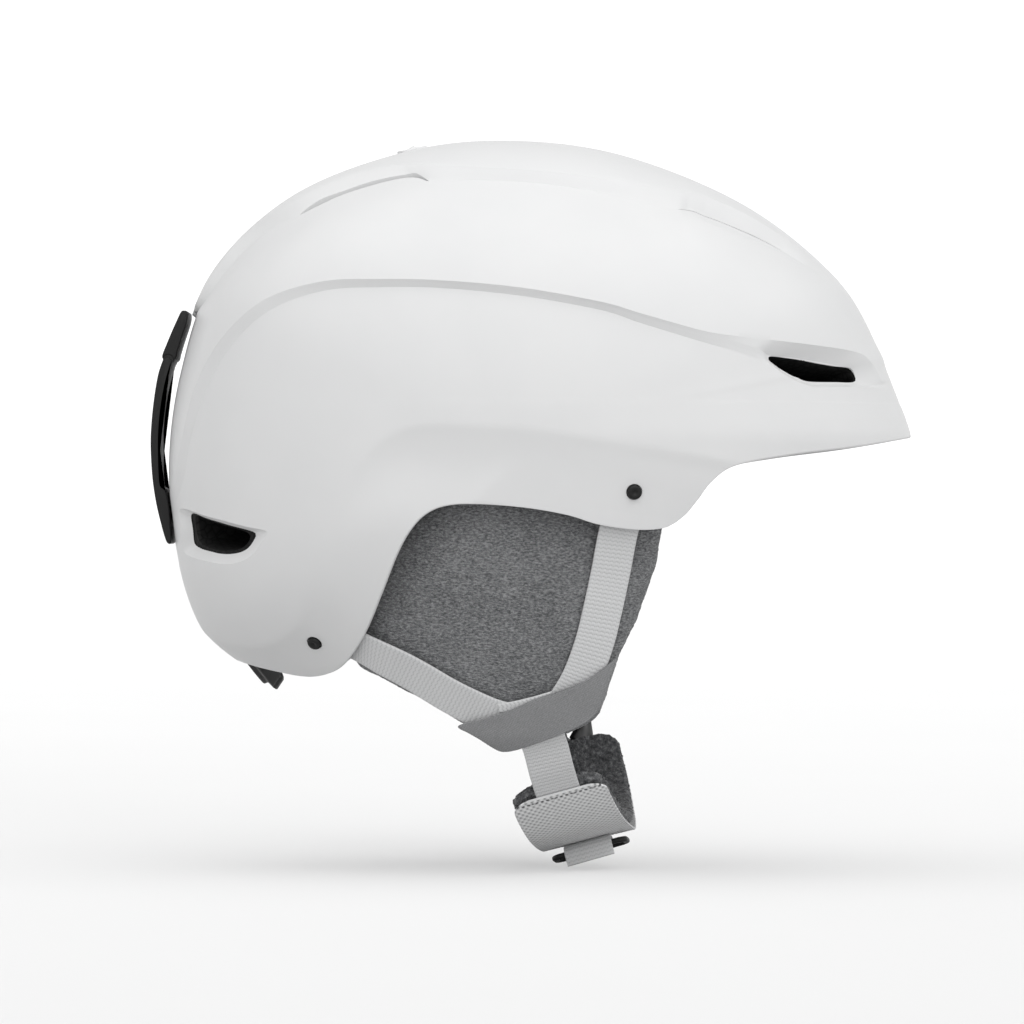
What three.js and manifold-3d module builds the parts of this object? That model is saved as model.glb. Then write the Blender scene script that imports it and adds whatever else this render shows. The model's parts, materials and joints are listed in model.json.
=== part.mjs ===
// A ski helmet with soft ear pads, webbing, a padded chin strap, a dial fit system, a sliding crown vent and a
// goggle-strap retainer. Millimetres. +X is the front (visor), +Y is the wearer's left, +Z is up.
// The origin is the centre of the head opening, level with the visor's tip.
import * as THREE from "three";
import { mergeVertices } from "three/addons/utils/BufferGeometryUtils.js";
import Module from "manifold-3d";

const wasm = await Module();
wasm.setup();

// ---------- driving dimensions ----------
const SHELL_HALF_WIDTH = 108;
const SHELL_THICKNESS = 2.6;
const STEP_DEPTH = 2; // the sides below the step are this much slimmer
const SPINE_HALF_WIDTH = 27;
const SPINE_HEIGHT = 2.5;
const SHELL_ROUNDNESS = 2.2; // superellipse exponent of every section across the shell
const CAVITY_HALF_WIDTH = 85;
const GAP = 0.35; // between pieces that touch
const RINGS = 16; // facets across the helmet
const WEBBING_WIDTH = 15;
const WEBBING_THICKNESS = 1.4;
const CROWN_ARC = { x: 0.8, z: -53.5, radius: 168.5 }; // circle that the crown's centre line follows
const VENT_TRAVEL_DEG = 2.7;
const RETAINER_WIDTH = 32;
const RETAINER_PIVOT = [-129.4, 29.5];
const DIAL_CENTRE = [-100, 0, -87];
const DIAL_TILT = Math.atan2(0.6, 0.8); // the dial's axis points back and down by this angle

// Mid-plane outline of the shell as (x, z), from the visor's tip over the crown and closed below the rim.
const SHELL_PROFILE = [
  [159.5, 0], [147.5, 33.5], [131, 60.5], [95, 89.5], [46, 109.5], [0, 115], [-40, 110], [-82.5, 93],
  [-113.5, 63], [-126.5, 24], [-129.3, -20], [-122.5, -62], [-106.5, -87.5], [-72, -109], [-20, -125],
  [40, -126], [100, -100], [145, -52],
];
// Mid-plane outline of the foam's head cavity, and the same for the space under it.
const CAVITY_PROFILE = [
  [104, 0], [96, 42], [66, 76], [0, 88], [-66, 76], [-96, 42], [-104, 0], [-99, -60], [-84, -120], [0, -200],
  [88, -120], [101, -60],
];
// Lower edge of the shell, seen from the side, from the visor back to the nape.
const SHELL_RIM = [
  [161, -0.6], [133, -4.6], [94, -10], [85.5, -13], [79, -18.5], [74.5, -25], [69.5, -31], [62.5, -35.3],
  [52, -36.2], [37, -34.2], [25, -30.6], [9, -27.8], [-9, -26.4], [-21, -27], [-29, -30.3], [-35, -36.8],
  [-40, -46], [-46, -61], [-51.5, -74], [-57, -83.3], [-63, -90], [-71, -93.6], [-79, -94], [-91, -91.8],
  [-106, -87.5], [-119, -78], [-135, -66],
];
// Lower edge of the foam liner: higher at the ear arch, where the ear pad and the straps tuck under the shell.
const LINER_RIM = [
  [161, 4], [133, 0], [92, -5], [76, -9], [40, -11], [-18, -12], [-36, -22], [-54, -46], [-66, -61],
  [-84, -67], [-92, -82], [-106, -80], [-119, -71], [-135, -60],
];
// Seam between the upper shell and the lower wrap.
const SEAM = [
  [-135, -71], [-118.5, -74.6], [-108.5, -78.1], [-97, -80.7], [-80, -78.4], [-68.7, -71.3], [-61.2, -62.5],
  [-52, -59.4], [-30, -58.8],
];

// ---------- materials ----------
const finish = (color, roughness, metalness = 0) => new THREE.MeshStandardMaterial({ color, roughness, metalness });
const WHITE_SHELL = finish(0xeeeeee, 0.5);
const BLACK_FOAM = finish(0x141414, 0.9);
const BLACK_PLASTIC = finish(0x1a1a1a, 0.45);
const GREY_PLASTIC = finish(0x55585a, 0.5);
const GREY_FLEECE = finish(0x6b6d6e, 1);
const GREY_KNIT = finish(0x757778, 0.95);
const WEBBING = finish(0xc9cbcb, 0.85);
const WOVEN_NYLON = finish(0xbfc1c1, 0.85);
const STEEL = finish(0xb0b2b4, 0.3, 1);

// ---------- solids ----------
const helmet = new THREE.Group();

// A closed three.js geometry as a solid that can be cut and joined.
function solid(geometry) {
  const bare = geometry.clone();
  bare.deleteAttribute("normal");
  bare.deleteAttribute("uv");
  const merged = mergeVertices(bare, 1e-4);
  const corners = merged.index.array;
  const kept = [];
  for (let i = 0; i < corners.length; i += 3) {
    const [a, b, c] = [corners[i], corners[i + 1], corners[i + 2]];
    if (a !== b && b !== c && c !== a) kept.push(a, b, c);
  }
  return new wasm.Manifold(new wasm.Mesh({
    numProp: 3,
    vertProperties: new Float32Array(merged.attributes.position.array),
    triVerts: new Uint32Array(kept),
  }));
}

function geometryOf(made) {
  const mesh = made.getMesh();
  const geometry = new THREE.BufferGeometry();
  geometry.setAttribute("position", new THREE.BufferAttribute(new Float32Array(mesh.vertProperties), 3));
  geometry.setIndex(new THREE.BufferAttribute(new Uint32Array(mesh.triVerts), 1));
  geometry.computeVertexNormals();
  return geometry;
}

function add(name, made, material) {
  const mesh = new THREE.Mesh(geometryOf(made), material);
  mesh.name = name;
  helmet.add(mesh);
}

// The same piece on the wearer's left (+Y) and right (-Y).
function addPair(name, leftSolid, material) {
  add(name + "_left", leftSolid, material);
  add(name + "_right", leftSolid.mirror([0, 1, 0]), material);
}

// A closed tube of quads: rows of matching loops of points, closed over the first and the last loop by a ladder of
// quads between the loop's two halves.
function loft(loops) {
  const positions = loops.flat().flatMap((p) => [p.x, p.y, p.z]);
  const count = loops[0].length;
  const index = [];
  for (let row = 0; row + 1 < loops.length; row += 1) {
    for (let i = 0; i < count; i += 1) {
      const a = row * count + i;
      const b = row * count + ((i + 1) % count);
      index.push(a, b, b + count, a, b + count, a + count);
    }
  }
  const last = (loops.length - 1) * count;
  for (let i = 0; i < count / 2 - 1; i += 1) {
    const [a, b, c, d] = [i, i + 1, count - 2 - i, count - 1 - i];
    index.push(a, c, b, a, d, c);
    index.push(last + a, last + b, last + c, last + a, last + c, last + d);
  }
  const geometry = new THREE.BufferGeometry();
  geometry.setAttribute("position", new THREE.Float32BufferAttribute(positions, 3));
  geometry.setIndex(index);
  const made = solid(geometry);
  if (made.volume() >= 0) return made;
  for (let i = 0; i < index.length; i += 3) [index[i + 1], index[i + 2]] = [index[i + 2], index[i + 1]];
  geometry.setIndex(index);
  return solid(geometry);
}

// A box from its lowest to its highest corner.
function box(low, high) {
  const size = high.map((value, i) => value - low[i]);
  return solid(new THREE.BoxGeometry(...size)).translate(high.map((value, i) => (value + low[i]) / 2));
}

// A cylinder between two points.
function rod(from, to, radius, sides = 16) {
  const start = new THREE.Vector3(...from);
  const along = new THREE.Vector3(...to).sub(start);
  const turn = new THREE.Quaternion().setFromUnitVectors(new THREE.Vector3(0, 1, 0), along.clone().normalize());
  const geometry = new THREE.CylinderGeometry(radius, radius, along.length(), sides);
  geometry.applyQuaternion(turn);
  geometry.translate(...start.addScaledVector(along, 0.5).toArray());
  return solid(geometry);
}

// A side-view outline as (x, z), extruded across the helmet from one y to another.
function sidePrism(outline, fromY, toY) {
  const shape = new THREE.Shape(outline.map(([x, z]) => new THREE.Vector2(x, z)));
  const geometry = new THREE.ExtrudeGeometry(shape, { depth: toY - fromY, bevelEnabled: false });
  geometry.rotateX(Math.PI / 2); // the outline's second axis becomes +Z, and the depth runs towards -Y
  geometry.translate(0, toY, 0);
  return solid(geometry);
}

// ---------- the egg-shaped surfaces of shell and cavity ----------
const curveOf = (outline) => new THREE.CatmullRomCurve3(
  outline.map(([x, z]) => new THREE.Vector3(x, 0, z)), true, "catmullrom", 0.5,
);
const SHELL_CURVE = curveOf(SHELL_PROFILE);
const CAVITY_CURVE = curveOf(CAVITY_PROFILE);
// The same outline with its crown pressed down by the spine's height: the form beside the spine.
const LOW_CURVE = curveOf(SHELL_PROFILE.map(([x, z]) => [x, z - SPINE_HEIGHT * THREE.MathUtils.clamp((z + 40) / 155, 0, 1)]));

// A point of an egg: `turn` 0 to 1 round the side profile, `across` 0 to 1 from the right pole to the left one.
function eggPoint(curve, halfWidth, inset, turn, across) {
  const edge = curve.getPoint(turn);
  const angle = Math.PI * across;
  const power = 2 / SHELL_ROUNDNESS;
  const reach = Math.sin(angle) ** power * (1 - inset / edge.length());
  const side = -Math.sign(Math.cos(angle)) * Math.abs(Math.cos(angle)) ** power * (halfWidth - inset);
  return new THREE.Vector3(edge.x * reach, side, edge.z * reach);
}

// Finely divided over the part that is kept, coarsely over the closing spans below the rim.
function egg(curve, halfWidth, inset, perSpan = 3) {
  const spans = curve.points.length;
  const kept = Math.round(spans * 0.72);
  const turns = [];
  for (let span = 0; span < spans; span += 1) {
    const steps = span < kept ? perSpan : 1;
    for (let i = 0; i < steps; i += 1) turns.push((span + i / steps) / spans);
  }
  const loops = [];
  for (let ring = 0; ring <= RINGS; ring += 1) {
    const across = Math.min(Math.max(ring / RINGS, 1e-4), 1 - 1e-4);
    loops.push(turns.map((turn) => eggPoint(curve, halfWidth, inset, turn, across)));
  }
  return loft(loops);
}

// A slab of the cavity's wall: part of the turn, part of the way across, between two depths.
function cavitySlab(turns, acrosses, insets, steps) {
  const at = (turn, across, inset) => eggPoint(CAVITY_CURVE, CAVITY_HALF_WIDTH, inset, (turn + 1) % 1, across);
  const loops = [];
  for (let i = 0; i <= steps[0]; i += 1) {
    const turn = THREE.MathUtils.lerp(turns[0], turns[1], i / steps[0]);
    const loop = [];
    for (let j = 0; j <= steps[1]; j += 1) {
      loop.push(at(turn, THREE.MathUtils.lerp(acrosses[0], acrosses[1], j / steps[1]), insets[0]));
    }
    for (let j = steps[1]; j >= 0; j -= 1) {
      loop.push(at(turn, THREE.MathUtils.lerp(acrosses[0], acrosses[1], j / steps[1]), insets[1]));
    }
    loops.push(loop);
  }
  return loft(loops);
}

// Everything below a rim line, as a prism across the whole helmet.
const below = (rim) => sidePrism([...rim, [rim.at(-1)[0], -260], [rim[0][0], -260]], -140, 140);

// Half-width of the slim lower sides of the shell at a place in the side view.
function shellHalfWidth(x, z) {
  const angle = Math.atan2(z, x);
  let reach = 0;
  let closest = Infinity;
  for (let s = 0; s < 720; s += 1) {
    const edge = LOW_CURVE.getPoint(s / 720);
    const off = Math.acos(THREE.MathUtils.clamp(Math.cos(Math.atan2(edge.z, edge.x) - angle), -1, 1));
    if (off < closest) [closest, reach] = [off, edge.length()];
  }
  const share = Math.min(Math.hypot(x, z) / reach, 1);
  return (SHELL_HALF_WIDTH - STEP_DEPTH) * (1 - share ** SHELL_ROUNDNESS) ** (1 / SHELL_ROUNDNESS);
}

// The direction out of a surface y = height(x, z) on the left side.
function outOf(height, x, z) {
  const slopeX = (height(x + 1, z) - height(x - 1, z)) / 2;
  const slopeZ = (height(x, z + 1) - height(x, z - 1)) / 2;
  return new THREE.Vector3(-slopeX, 1, -slopeZ).normalize();
}

// A point of the left half of the shell at a place in the side view, sunk by a depth along the surface's normal.
function shellPoint(x, z, depth = 0) {
  return new THREE.Vector3(x, shellHalfWidth(x, z), z).addScaledVector(outOf(shellHalfWidth, x, z), -depth).toArray();
}

// ---------- strips: webbing, belts and padding along a curve ----------
// Each section is a rectangle `width` wide and from `low` to `high` along the outward direction, which turns from
// `outStart` to `outEnd` along the strip. `round` narrows the two ends over one step.
function strip(points, { width, low, high, outStart, outEnd = outStart, from = 0, to = 1, steps = 10, round = 0 }) {
  const curve = new THREE.CatmullRomCurve3(points.map((p) => new THREE.Vector3(...p)), false, "catmullrom", 0.5);
  const first = new THREE.Vector3(...outStart);
  const last = new THREE.Vector3(...outEnd);
  const loops = [];
  for (let i = 0; i <= steps; i += 1) {
    const t = THREE.MathUtils.lerp(from, to, i / steps);
    const centre = curve.getPoint(t);
    const along = curve.getTangent(t);
    const out = first.clone().lerp(last, t);
    out.addScaledVector(along, -out.dot(along)).normalize();
    const wide = out.clone().cross(along);
    const half = (i === 0 || i === steps) ? width / 2 - round : width / 2;
    const corner = (w, h) => centre.clone().addScaledVector(wide, w).addScaledVector(out, h);
    loops.push([corner(-half, low), corner(half, low), corner(half, high), corner(-half, high)]);
  }
  return loft(loops);
}

// ---------- shell and liner ----------
// Upper edge of the step that runs along each side, from beside the visor to the nape: above it the shell is proud.
const SIDE_STEP = [
  [163, 12], [146, 18.5], [139, 29], [101, 34.5], [75, 37.5], [52, 43.5], [37, 47.5], [7, 52.5], [-23, 55.5],
  [-46, 56], [-65, 55.5], [-83, 50.8], [-96, 43], [-107, 30.5], [-115, 15.5], [-120, -3], [-122, -18], [-135, -30],
];

// The skin's outer form: wide above the side steps, slimmer below them, with a raised spine over the crown.
function outerForm() {
  const spine = egg(SHELL_CURVE, SHELL_HALF_WIDTH, 0)
    .intersect(box([-140, -SPINE_HALF_WIDTH, -200], [170, SPINE_HALF_WIDTH, 200]));
  const deck = egg(LOW_CURVE, SHELL_HALF_WIDTH, 0).subtract(below(SIDE_STEP));
  const sides = egg(LOW_CURVE, SHELL_HALF_WIDTH - STEP_DEPTH + 0.3, 0.3);
  return spine.add(deck).add(sides);
}

function shellSkin() {
  return outerForm().subtract(egg(LOW_CURVE, SHELL_HALF_WIDTH - STEP_DEPTH, SHELL_THICKNESS)).subtract(below(SHELL_RIM));
}

const FRONT_VENT = [[101.5, 29.2], [118, 28.4], [129, 26.8], [133, 23.5], [133.5, 20.6], [117.5, 20.4], [111, 22.6]];
const REAR_VENT = [[-117.5, -31.6], [-97, -37.8], [-94.5, -40.6], [-97.5, -44.4], [-105, -44.6], [-116.5, -41.8]];
const TOP_VENTS = [{ from: -74, to: -30, inner: 37, outer: 49 }, { from: 68, to: 112, inner: 31, outer: 41 }];
const RIVETS = { front: [50.1, -22.4], rear: [-71.8, -80.5] };
const RIVET_HOLE_RADIUS = 3.1;

// Cutters for the openings that shell and liner share; `grow` narrows the top vents for the liner.
function sideVents(outline, depth) {
  const [x, z] = outline[0];
  const outer = 120;
  const inner = shellHalfWidth(x, z) - depth;
  return sidePrism(outline, inner, outer).add(sidePrism(outline, -outer, -inner));
}

function topVents(margin, lowest) {
  return TOP_VENTS.flatMap(({ from, to, inner, outer }) => [1, -1].map((side) => {
    const ys = [side * (inner + margin), side * (outer - margin)].sort((a, b) => a - b);
    return box([from + margin, ys[0], lowest], [to - margin, ys[1], 130]);
  })).reduce((all, one) => all.add(one));
}

const bothSides = (made) => made.add(made.mirror([0, 1, 0]));

function rivetHoles() {
  return bothSides(Object.values(RIVETS).map(([x, z]) => rod(shellPoint(x, z, -5), shellPoint(x, z, 8),
    RIVET_HOLE_RADIUS, 16)).reduce((all, one) => all.add(one)));
}

const DIAL_ARCH = rod([-140, 0, -101], [-60, 0, -101], 20, 24); // finger room for the dial, in the nape's lower edge
const SLIDER_SLOT = box([-47, -3.2, 90], [-14, 3.2, 130]);

function shells() {
  const skin = shellSkin()
    .subtract(sideVents(FRONT_VENT, 30))
    .subtract(sideVents(REAR_VENT, 34))
    .subtract(topVents(0, 40))
    .subtract(rivetHoles())
    .subtract(DIAL_ARCH)
    .subtract(SLIDER_SLOT)
    .subtract(box([-130, -4.4, 35.1], [-110, 4.4, 42.9])); // slot for the goggle retainer's clip
  const raised = SEAM.map(([x, z]) => [x, z + GAP]);
  const wrapSide = below(SEAM).subtract(box([-30, -140, -260], [200, 140, 200]));
  const shellSide = below(raised).subtract(box([-30, -140, -260], [200, 140, 200]));
  add("upper_shell", skin.subtract(shellSide), WHITE_SHELL);
  add("lower_shell_wrap", skin.intersect(wrapSide), WHITE_SHELL);
}

// ---------- crown vent slider ----------
// A slab bent round the crown's arc: angles from the vertical (forward is positive), half-width, depths under it.
function crownSlab(angles, halfWidth, depths, steps) {
  const over = eggPoint(SHELL_CURVE, SHELL_HALF_WIDTH, 0, 6 / SHELL_PROFILE.length, 0.5);
  const radiusAt = (y, depth) => {
    const share = (1 - (Math.abs(y) / SHELL_HALF_WIDTH) ** SHELL_ROUNDNESS) ** (1 / SHELL_ROUNDNESS);
    return Math.hypot(over.x * share - CROWN_ARC.x, over.z * share - CROWN_ARC.z) - depth;
  };
  const loops = [];
  for (let i = 0; i <= steps[0]; i += 1) {
    const angle = THREE.MathUtils.degToRad(THREE.MathUtils.lerp(angles[0], angles[1], i / steps[0]));
    const at = (y, depth) => {
      const r = radiusAt(y, depth);
      return new THREE.Vector3(CROWN_ARC.x + r * Math.sin(angle), y, CROWN_ARC.z + r * Math.cos(angle));
    };
    const loop = [];
    for (let j = 0; j <= steps[1]; j += 1) loop.push(at(THREE.MathUtils.lerp(-halfWidth, halfWidth, j / steps[1]), depths[0]));
    for (let j = steps[1]; j >= 0; j -= 1) loop.push(at(THREE.MathUtils.lerp(-halfWidth, halfWidth, j / steps[1]), depths[1]));
    loops.push(loop);
  }
  return loft(loops);
}

const SHUTTER_ANGLES = [-27.5, -8.5];
const SHUTTER_HALF_WIDTH = 50.6;
const LOUVRES = [-66, -51, -36]; // x of the centre of each rear vent passage through the foam
const LOUVRE_LENGTH = 7;

function louvres(lowest, spare) {
  return LOUVRES.flatMap((x) => [1, -1].map((side) => {
    const ys = [side * (38.5 - spare), side * (47.5 + spare)].sort((a, b) => a - b);
    const reach = LOUVRE_LENGTH / 2 + spare;
    return box([x - reach, ys[0], lowest], [x + reach, ys[1], 130]);
  })).reduce((all, one) => all.add(one));
}

function ventSlider() {
  const plate = crownSlab(SHUTTER_ANGLES, SHUTTER_HALF_WIDTH, [6.6, 8], [5, 8]).subtract(louvres(40, 0.4));
  add("vent_shutter", plate, BLACK_PLASTIC);
  const stem = crownSlab([-12.8, -11.2], 2.2, [-1.6, 6], [1, 2]);
  const grip = crownSlab([-14.2, -9.8], 5.4, [-2.6, -0.8], [4, 2]);
  const rib = crownSlab([-12.4, -11.6], 5.4, [-4.2, -2.5], [1, 2]);
  add("vent_slider_knob", stem.add(grip).add(rib), WHITE_SHELL);
}

// ---------- foam liner ----------
function liner() {
  const pocket = crownSlab([SHUTTER_ANGLES[0] - 1.5, SHUTTER_ANGLES[1] + VENT_TRAVEL_DEG + 1.5],
    SHUTTER_HALF_WIDTH + 2, [-12, 10.5], [5, 8]);
  const frontPassage = rod([122, 64, 25], [70, 40, 22], 6, 12);
  const rearPassage = rod([-108, 70, -38], [-70, 40, -36], 6, 12);
  const passages = frontPassage.add(rearPassage);
  const block = egg(LOW_CURVE, SHELL_HALF_WIDTH - STEP_DEPTH, SHELL_THICKNESS + GAP)
    .subtract(egg(CAVITY_CURVE, CAVITY_HALF_WIDTH, 0))
    .subtract(below(LINER_RIM));
  const made = block
    .subtract(pocket)
    .subtract(louvres(40, 0))
    .subtract(box([72, 33, 40], [108, 39.5, 130])).subtract(box([72, -39.5, 40], [108, -33, 130]))
    .subtract(sideVents(FRONT_VENT, 30)).subtract(sideVents(REAR_VENT, 24))
    .subtract(passages).subtract(passages.mirror([0, 1, 0]))
    .subtract(box([-140, -27, -140], [-70, 27, -52])) // room for the dial
    .subtract(box([-109, -12, -60], [-80, 12, 26])) // channel of the height slider
    .subtract(box([-130, -5, 34], [-112, 5, 44])); // seat of the retainer's clip
  add("impact_liner", made, BLACK_FOAM);
}

// ---------- comfort padding ----------
function padding() {
  const hollow = egg(CAVITY_CURVE, CAVITY_HALF_WIDTH, 1.2 * GAP);
  const pad = (turns, acrosses, thickness, steps) =>
    cavitySlab(turns, acrosses, [-3, thickness], steps).intersect(hollow);
  add("crown_pad", pad([0.215, 0.285], [0.36, 0.64], 7, [4, 6]), GREY_FLEECE);
  add("brow_pad", pad([0.005, 0.08], [0.27, 0.73], 7.5, [3, 12]), GREY_FLEECE);
  addPair("side_pad", pad([0.12, 0.4], [0.72, 0.88], 7, [6, 3]), GREY_FLEECE);
}

// ---------- fit system ----------
const CRADLE_BACK = -95.5; // the cradle's face towards the head
function fitSystem() {
  add("height_anchor", box([-108.4, -9, -10], [-105.6, 9, 22]), BLACK_PLASTIC);
  const hanger = box([-104.9, -7, -50], [-102.9, 7, 18]);
  const hangerFoot = box([-104.9, -9, -54], [-98.4, 9, -47]);
  add("cradle_hanger", hanger.add(hangerFoot), BLACK_PLASTIC);

  const plate = strip([[-86, -34, -50], [-94, -18, -50], [-96.5, 0, -50], [-94, 18, -50], [-86, 34, -50]],
    { width: 30, low: -1, high: 1, outStart: [-0.8, -0.6, 0.1], outEnd: [-0.8, 0.6, 0.1], steps: 12 });
  const neck = box([-98.8, -9, -70.5], [-96.3, 9, -55]);
  const bumpers = [-20, 20].map((y) => rod([-92.5, y, -38], [-96, y, -38], 4, 12)).reduce((a, b) => a.add(b));
  add("cradle_frame", plate.add(neck).add(bumpers), GREY_PLASTIC);
  const belt = strip(
    [[-84.5, 38.5, -47], [-62, 60, -38], [-24, 73, -18], [10, 75.5, -3.5], [42, 72.4, -1]],
    { width: 9, low: -0.8, high: 0.8, outStart: [-0.75, 0.65, 0.1], outEnd: [0.1, 1, 0], steps: 12 },
  );
  addPair("fit_belt", belt, GREY_PLASTIC);
  const sleeve = box([14, 71.6, -17.8], [26, 79.1, 11]).subtract(box([10, 72.9, -16.4], [30, 77.6, 9.6]));
  addPair("belt_guide", sleeve.add(box([14, 78.5, -8], [26, 82.3, 8])), BLACK_PLASTIC);
  const pad = strip([[-80, -30, -52], [-87.5, -16, -52], [-90.4, 0, -52], [-87.5, 16, -52], [-80, 30, -52]],
    { width: 22, low: -2.2, high: 2.2, outStart: [-0.8, -0.6, 0.1], outEnd: [-0.8, 0.6, 0.1], steps: 10 });
  add("nape_pad", pad, GREY_FLEECE);

  // The dial sits tilted on the neck of the cradle; it is made round its own axis, then turned and placed.
  const place = (made) => made.rotate([0, THREE.MathUtils.radToDeg(DIAL_TILT) * -1 - 90, 0]).translate(DIAL_CENTRE);
  const turned = (radius, from, to, sides) => rod([0, 0, from], [0, 0, to], radius, sides);
  let knob = turned(14.8, -8, -2, 36).add(turned(12.4, -3, 0, 36)).subtract(turned(2.6, -20, -6, 16));
  for (let i = 0; i < 12; i += 1) {
    const angle = (i * Math.PI) / 6;
    knob = knob.subtract(rod([15.4 * Math.cos(angle), 15.4 * Math.sin(angle), -7],
      [15.4 * Math.cos(angle), 15.4 * Math.sin(angle), 2], 1.6, 6));
  }
  add("dial_knob", place(knob), GREY_PLASTIC);
  const housing = turned(12.5, -14.5, -8.4, 32).subtract(turned(9.2, -12.7, -6, 32)).subtract(turned(2.7, -20, -6, 16));
  const bridge = box([-11, -8.6, -19], [4, 8.6, -14.2]);
  const neckRoom = box([-99.2, -9.4, -70.9], [-95.9, 9.4, -50]);
  add("dial_housing", place(housing.add(bridge)).subtract(neckRoom), GREY_PLASTIC);
  let pinion = turned(5, -12.3, -8.8, 16);
  for (let i = 0; i < 8; i += 1) {
    const angle = (i * Math.PI) / 4;
    const [x, y] = [Math.cos(angle), Math.sin(angle)];
    pinion = pinion.add(rod([5.8 * x, 5.8 * y, -12.3], [5.8 * x, 5.8 * y, -8.8], 1.6, 4));
  }
  add("dial_pinion", place(pinion.add(turned(2.3, -14, -6.4, 16))), STEEL);
}

// ---------- goggle retainer ----------
function retainer() {
  const half = RETAINER_WIDTH / 2;
  const [px, pz] = RETAINER_PIVOT;
  const foot = sidePrism([
    [-124.6, 47.8], [-121.6, 48.6], [-122.4, 44], [-126.4, 31.6], [-128.2, 29], [-131.4, 31.5], [-128, 40],
  ], -half, half);
  const socket = rod([px, -half - 1, pz], [px, half + 1, pz], 1.9, 20);
  const clip = box([-123.6, -4, 35.5], [-115, 4, 42.5]);
  add("retainer_base", foot.subtract(socket).add(clip.subtract(sidePrism([[-140, 20], [-140, 60], [-124, 47], [-128, 30]], -9, 9))), BLACK_PLASTIC);
  const band = sidePrism([
    [-130.6, 28.6], [-133.4, 20], [-135.4, 10], [-136.3, -5], [-135.5, -21], [-132.8, -33.5], [-130.2, -41.3],
    [-128.6, -41.9], [-129, -33], [-130.2, -20.6], [-132.8, -19.8], [-134, -16], [-134.2, -5], [-133.4, 8],
    [-131.1, 19.5], [-128.6, 28.2],
  ], -half, half);
  const barrel = rod([px, -half, pz], [px, half, pz], 1.5, 20);
  add("retainer_band", band.add(barrel), BLACK_PLASTIC);
}

// ---------- straps, ear pads ----------
// Outer face of the left ear pad at a place in the side view.
function earFace(x, z) {
  const drop = -24 - z;
  return 94 - 0.05 * drop - 0.002 * drop * drop - ((x - 8) ** 2) / 260;
}

const EAR_OUTLINE = [
  [58, -19], [60, -36], [57.5, -53], [52, -68.5], [46.4, -83.5], [41.5, -96.5], [37.5, -106], [22, -114.8],
  [3, -119.8], [-3, -118], [-12, -111.7], [-27, -100.4], [-38, -94.5], [-50, -87], [-54, -78], [-52, -58],
  [-45, -40], [-33, -25], [-18, -16], [40, -15],
];

// A plate cut to a side-view outline and laid on the ear pad's face, between two heights above it.
function facePlate(outline, low, high, cell = 15) {
  const xs = outline.map(([x]) => x);
  const zs = outline.map(([, z]) => z);
  const columns = Math.ceil((Math.max(...xs) - Math.min(...xs)) / cell);
  const rows = Math.ceil((Math.max(...zs) - Math.min(...zs)) / cell);
  const loops = [];
  for (let i = 0; i <= columns; i += 1) {
    const x = THREE.MathUtils.lerp(Math.min(...xs) - 1, Math.max(...xs) + 1, i / columns);
    const at = (j, height) => {
      const z = THREE.MathUtils.lerp(Math.min(...zs) - 1, Math.max(...zs) + 1, j / rows);
      return new THREE.Vector3(x, earFace(x, z) + height, z);
    };
    const loop = [];
    for (let j = 0; j <= rows; j += 1) loop.push(at(j, low));
    for (let j = rows; j >= 0; j -= 1) loop.push(at(j, high));
    loops.push(loop);
  }
  return loft(loops).intersect(sidePrism(outline, 10, 130));
}

function earPads() {
  addPair("ear_pad", facePlate(EAR_OUTLINE, -13, 0), GREY_FLEECE);
  const bandOutline = [
    [44.5, -84.5], [38, -104.5], [30, -110], [15, -116.2], [-0.5, -119.5], [-16.5, -110], [0, -105.6], [18, -99.2],
    [32, -93.4],
  ];
  addPair("ear_pad_band", facePlate(bandOutline, 3.9, 4.9), GREY_KNIT);
  const divider = [[27, -96.5], [29, -101], [16, -109], [6, -106], [2, -101.5], [5, -99], [16, -100.5], [20, -97]];
  addPair("strap_divider", facePlate(divider, 2.5, 3.4, 10), BLACK_PLASTIC);
}

// The webbing lies just off the ear pad's face; its upper end climbs to the rivet inside the shell.
function onFace(x, z, height = 0.5 + WEBBING_THICKNESS / 2) {
  return new THREE.Vector3(x, earFace(x, z), z).addScaledVector(outOf(earFace, x, z), height).toArray();
}

const STRAP_DEPTH = SHELL_THICKNESS + 2; // of the webbing's middle under the shell's outer face

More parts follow.
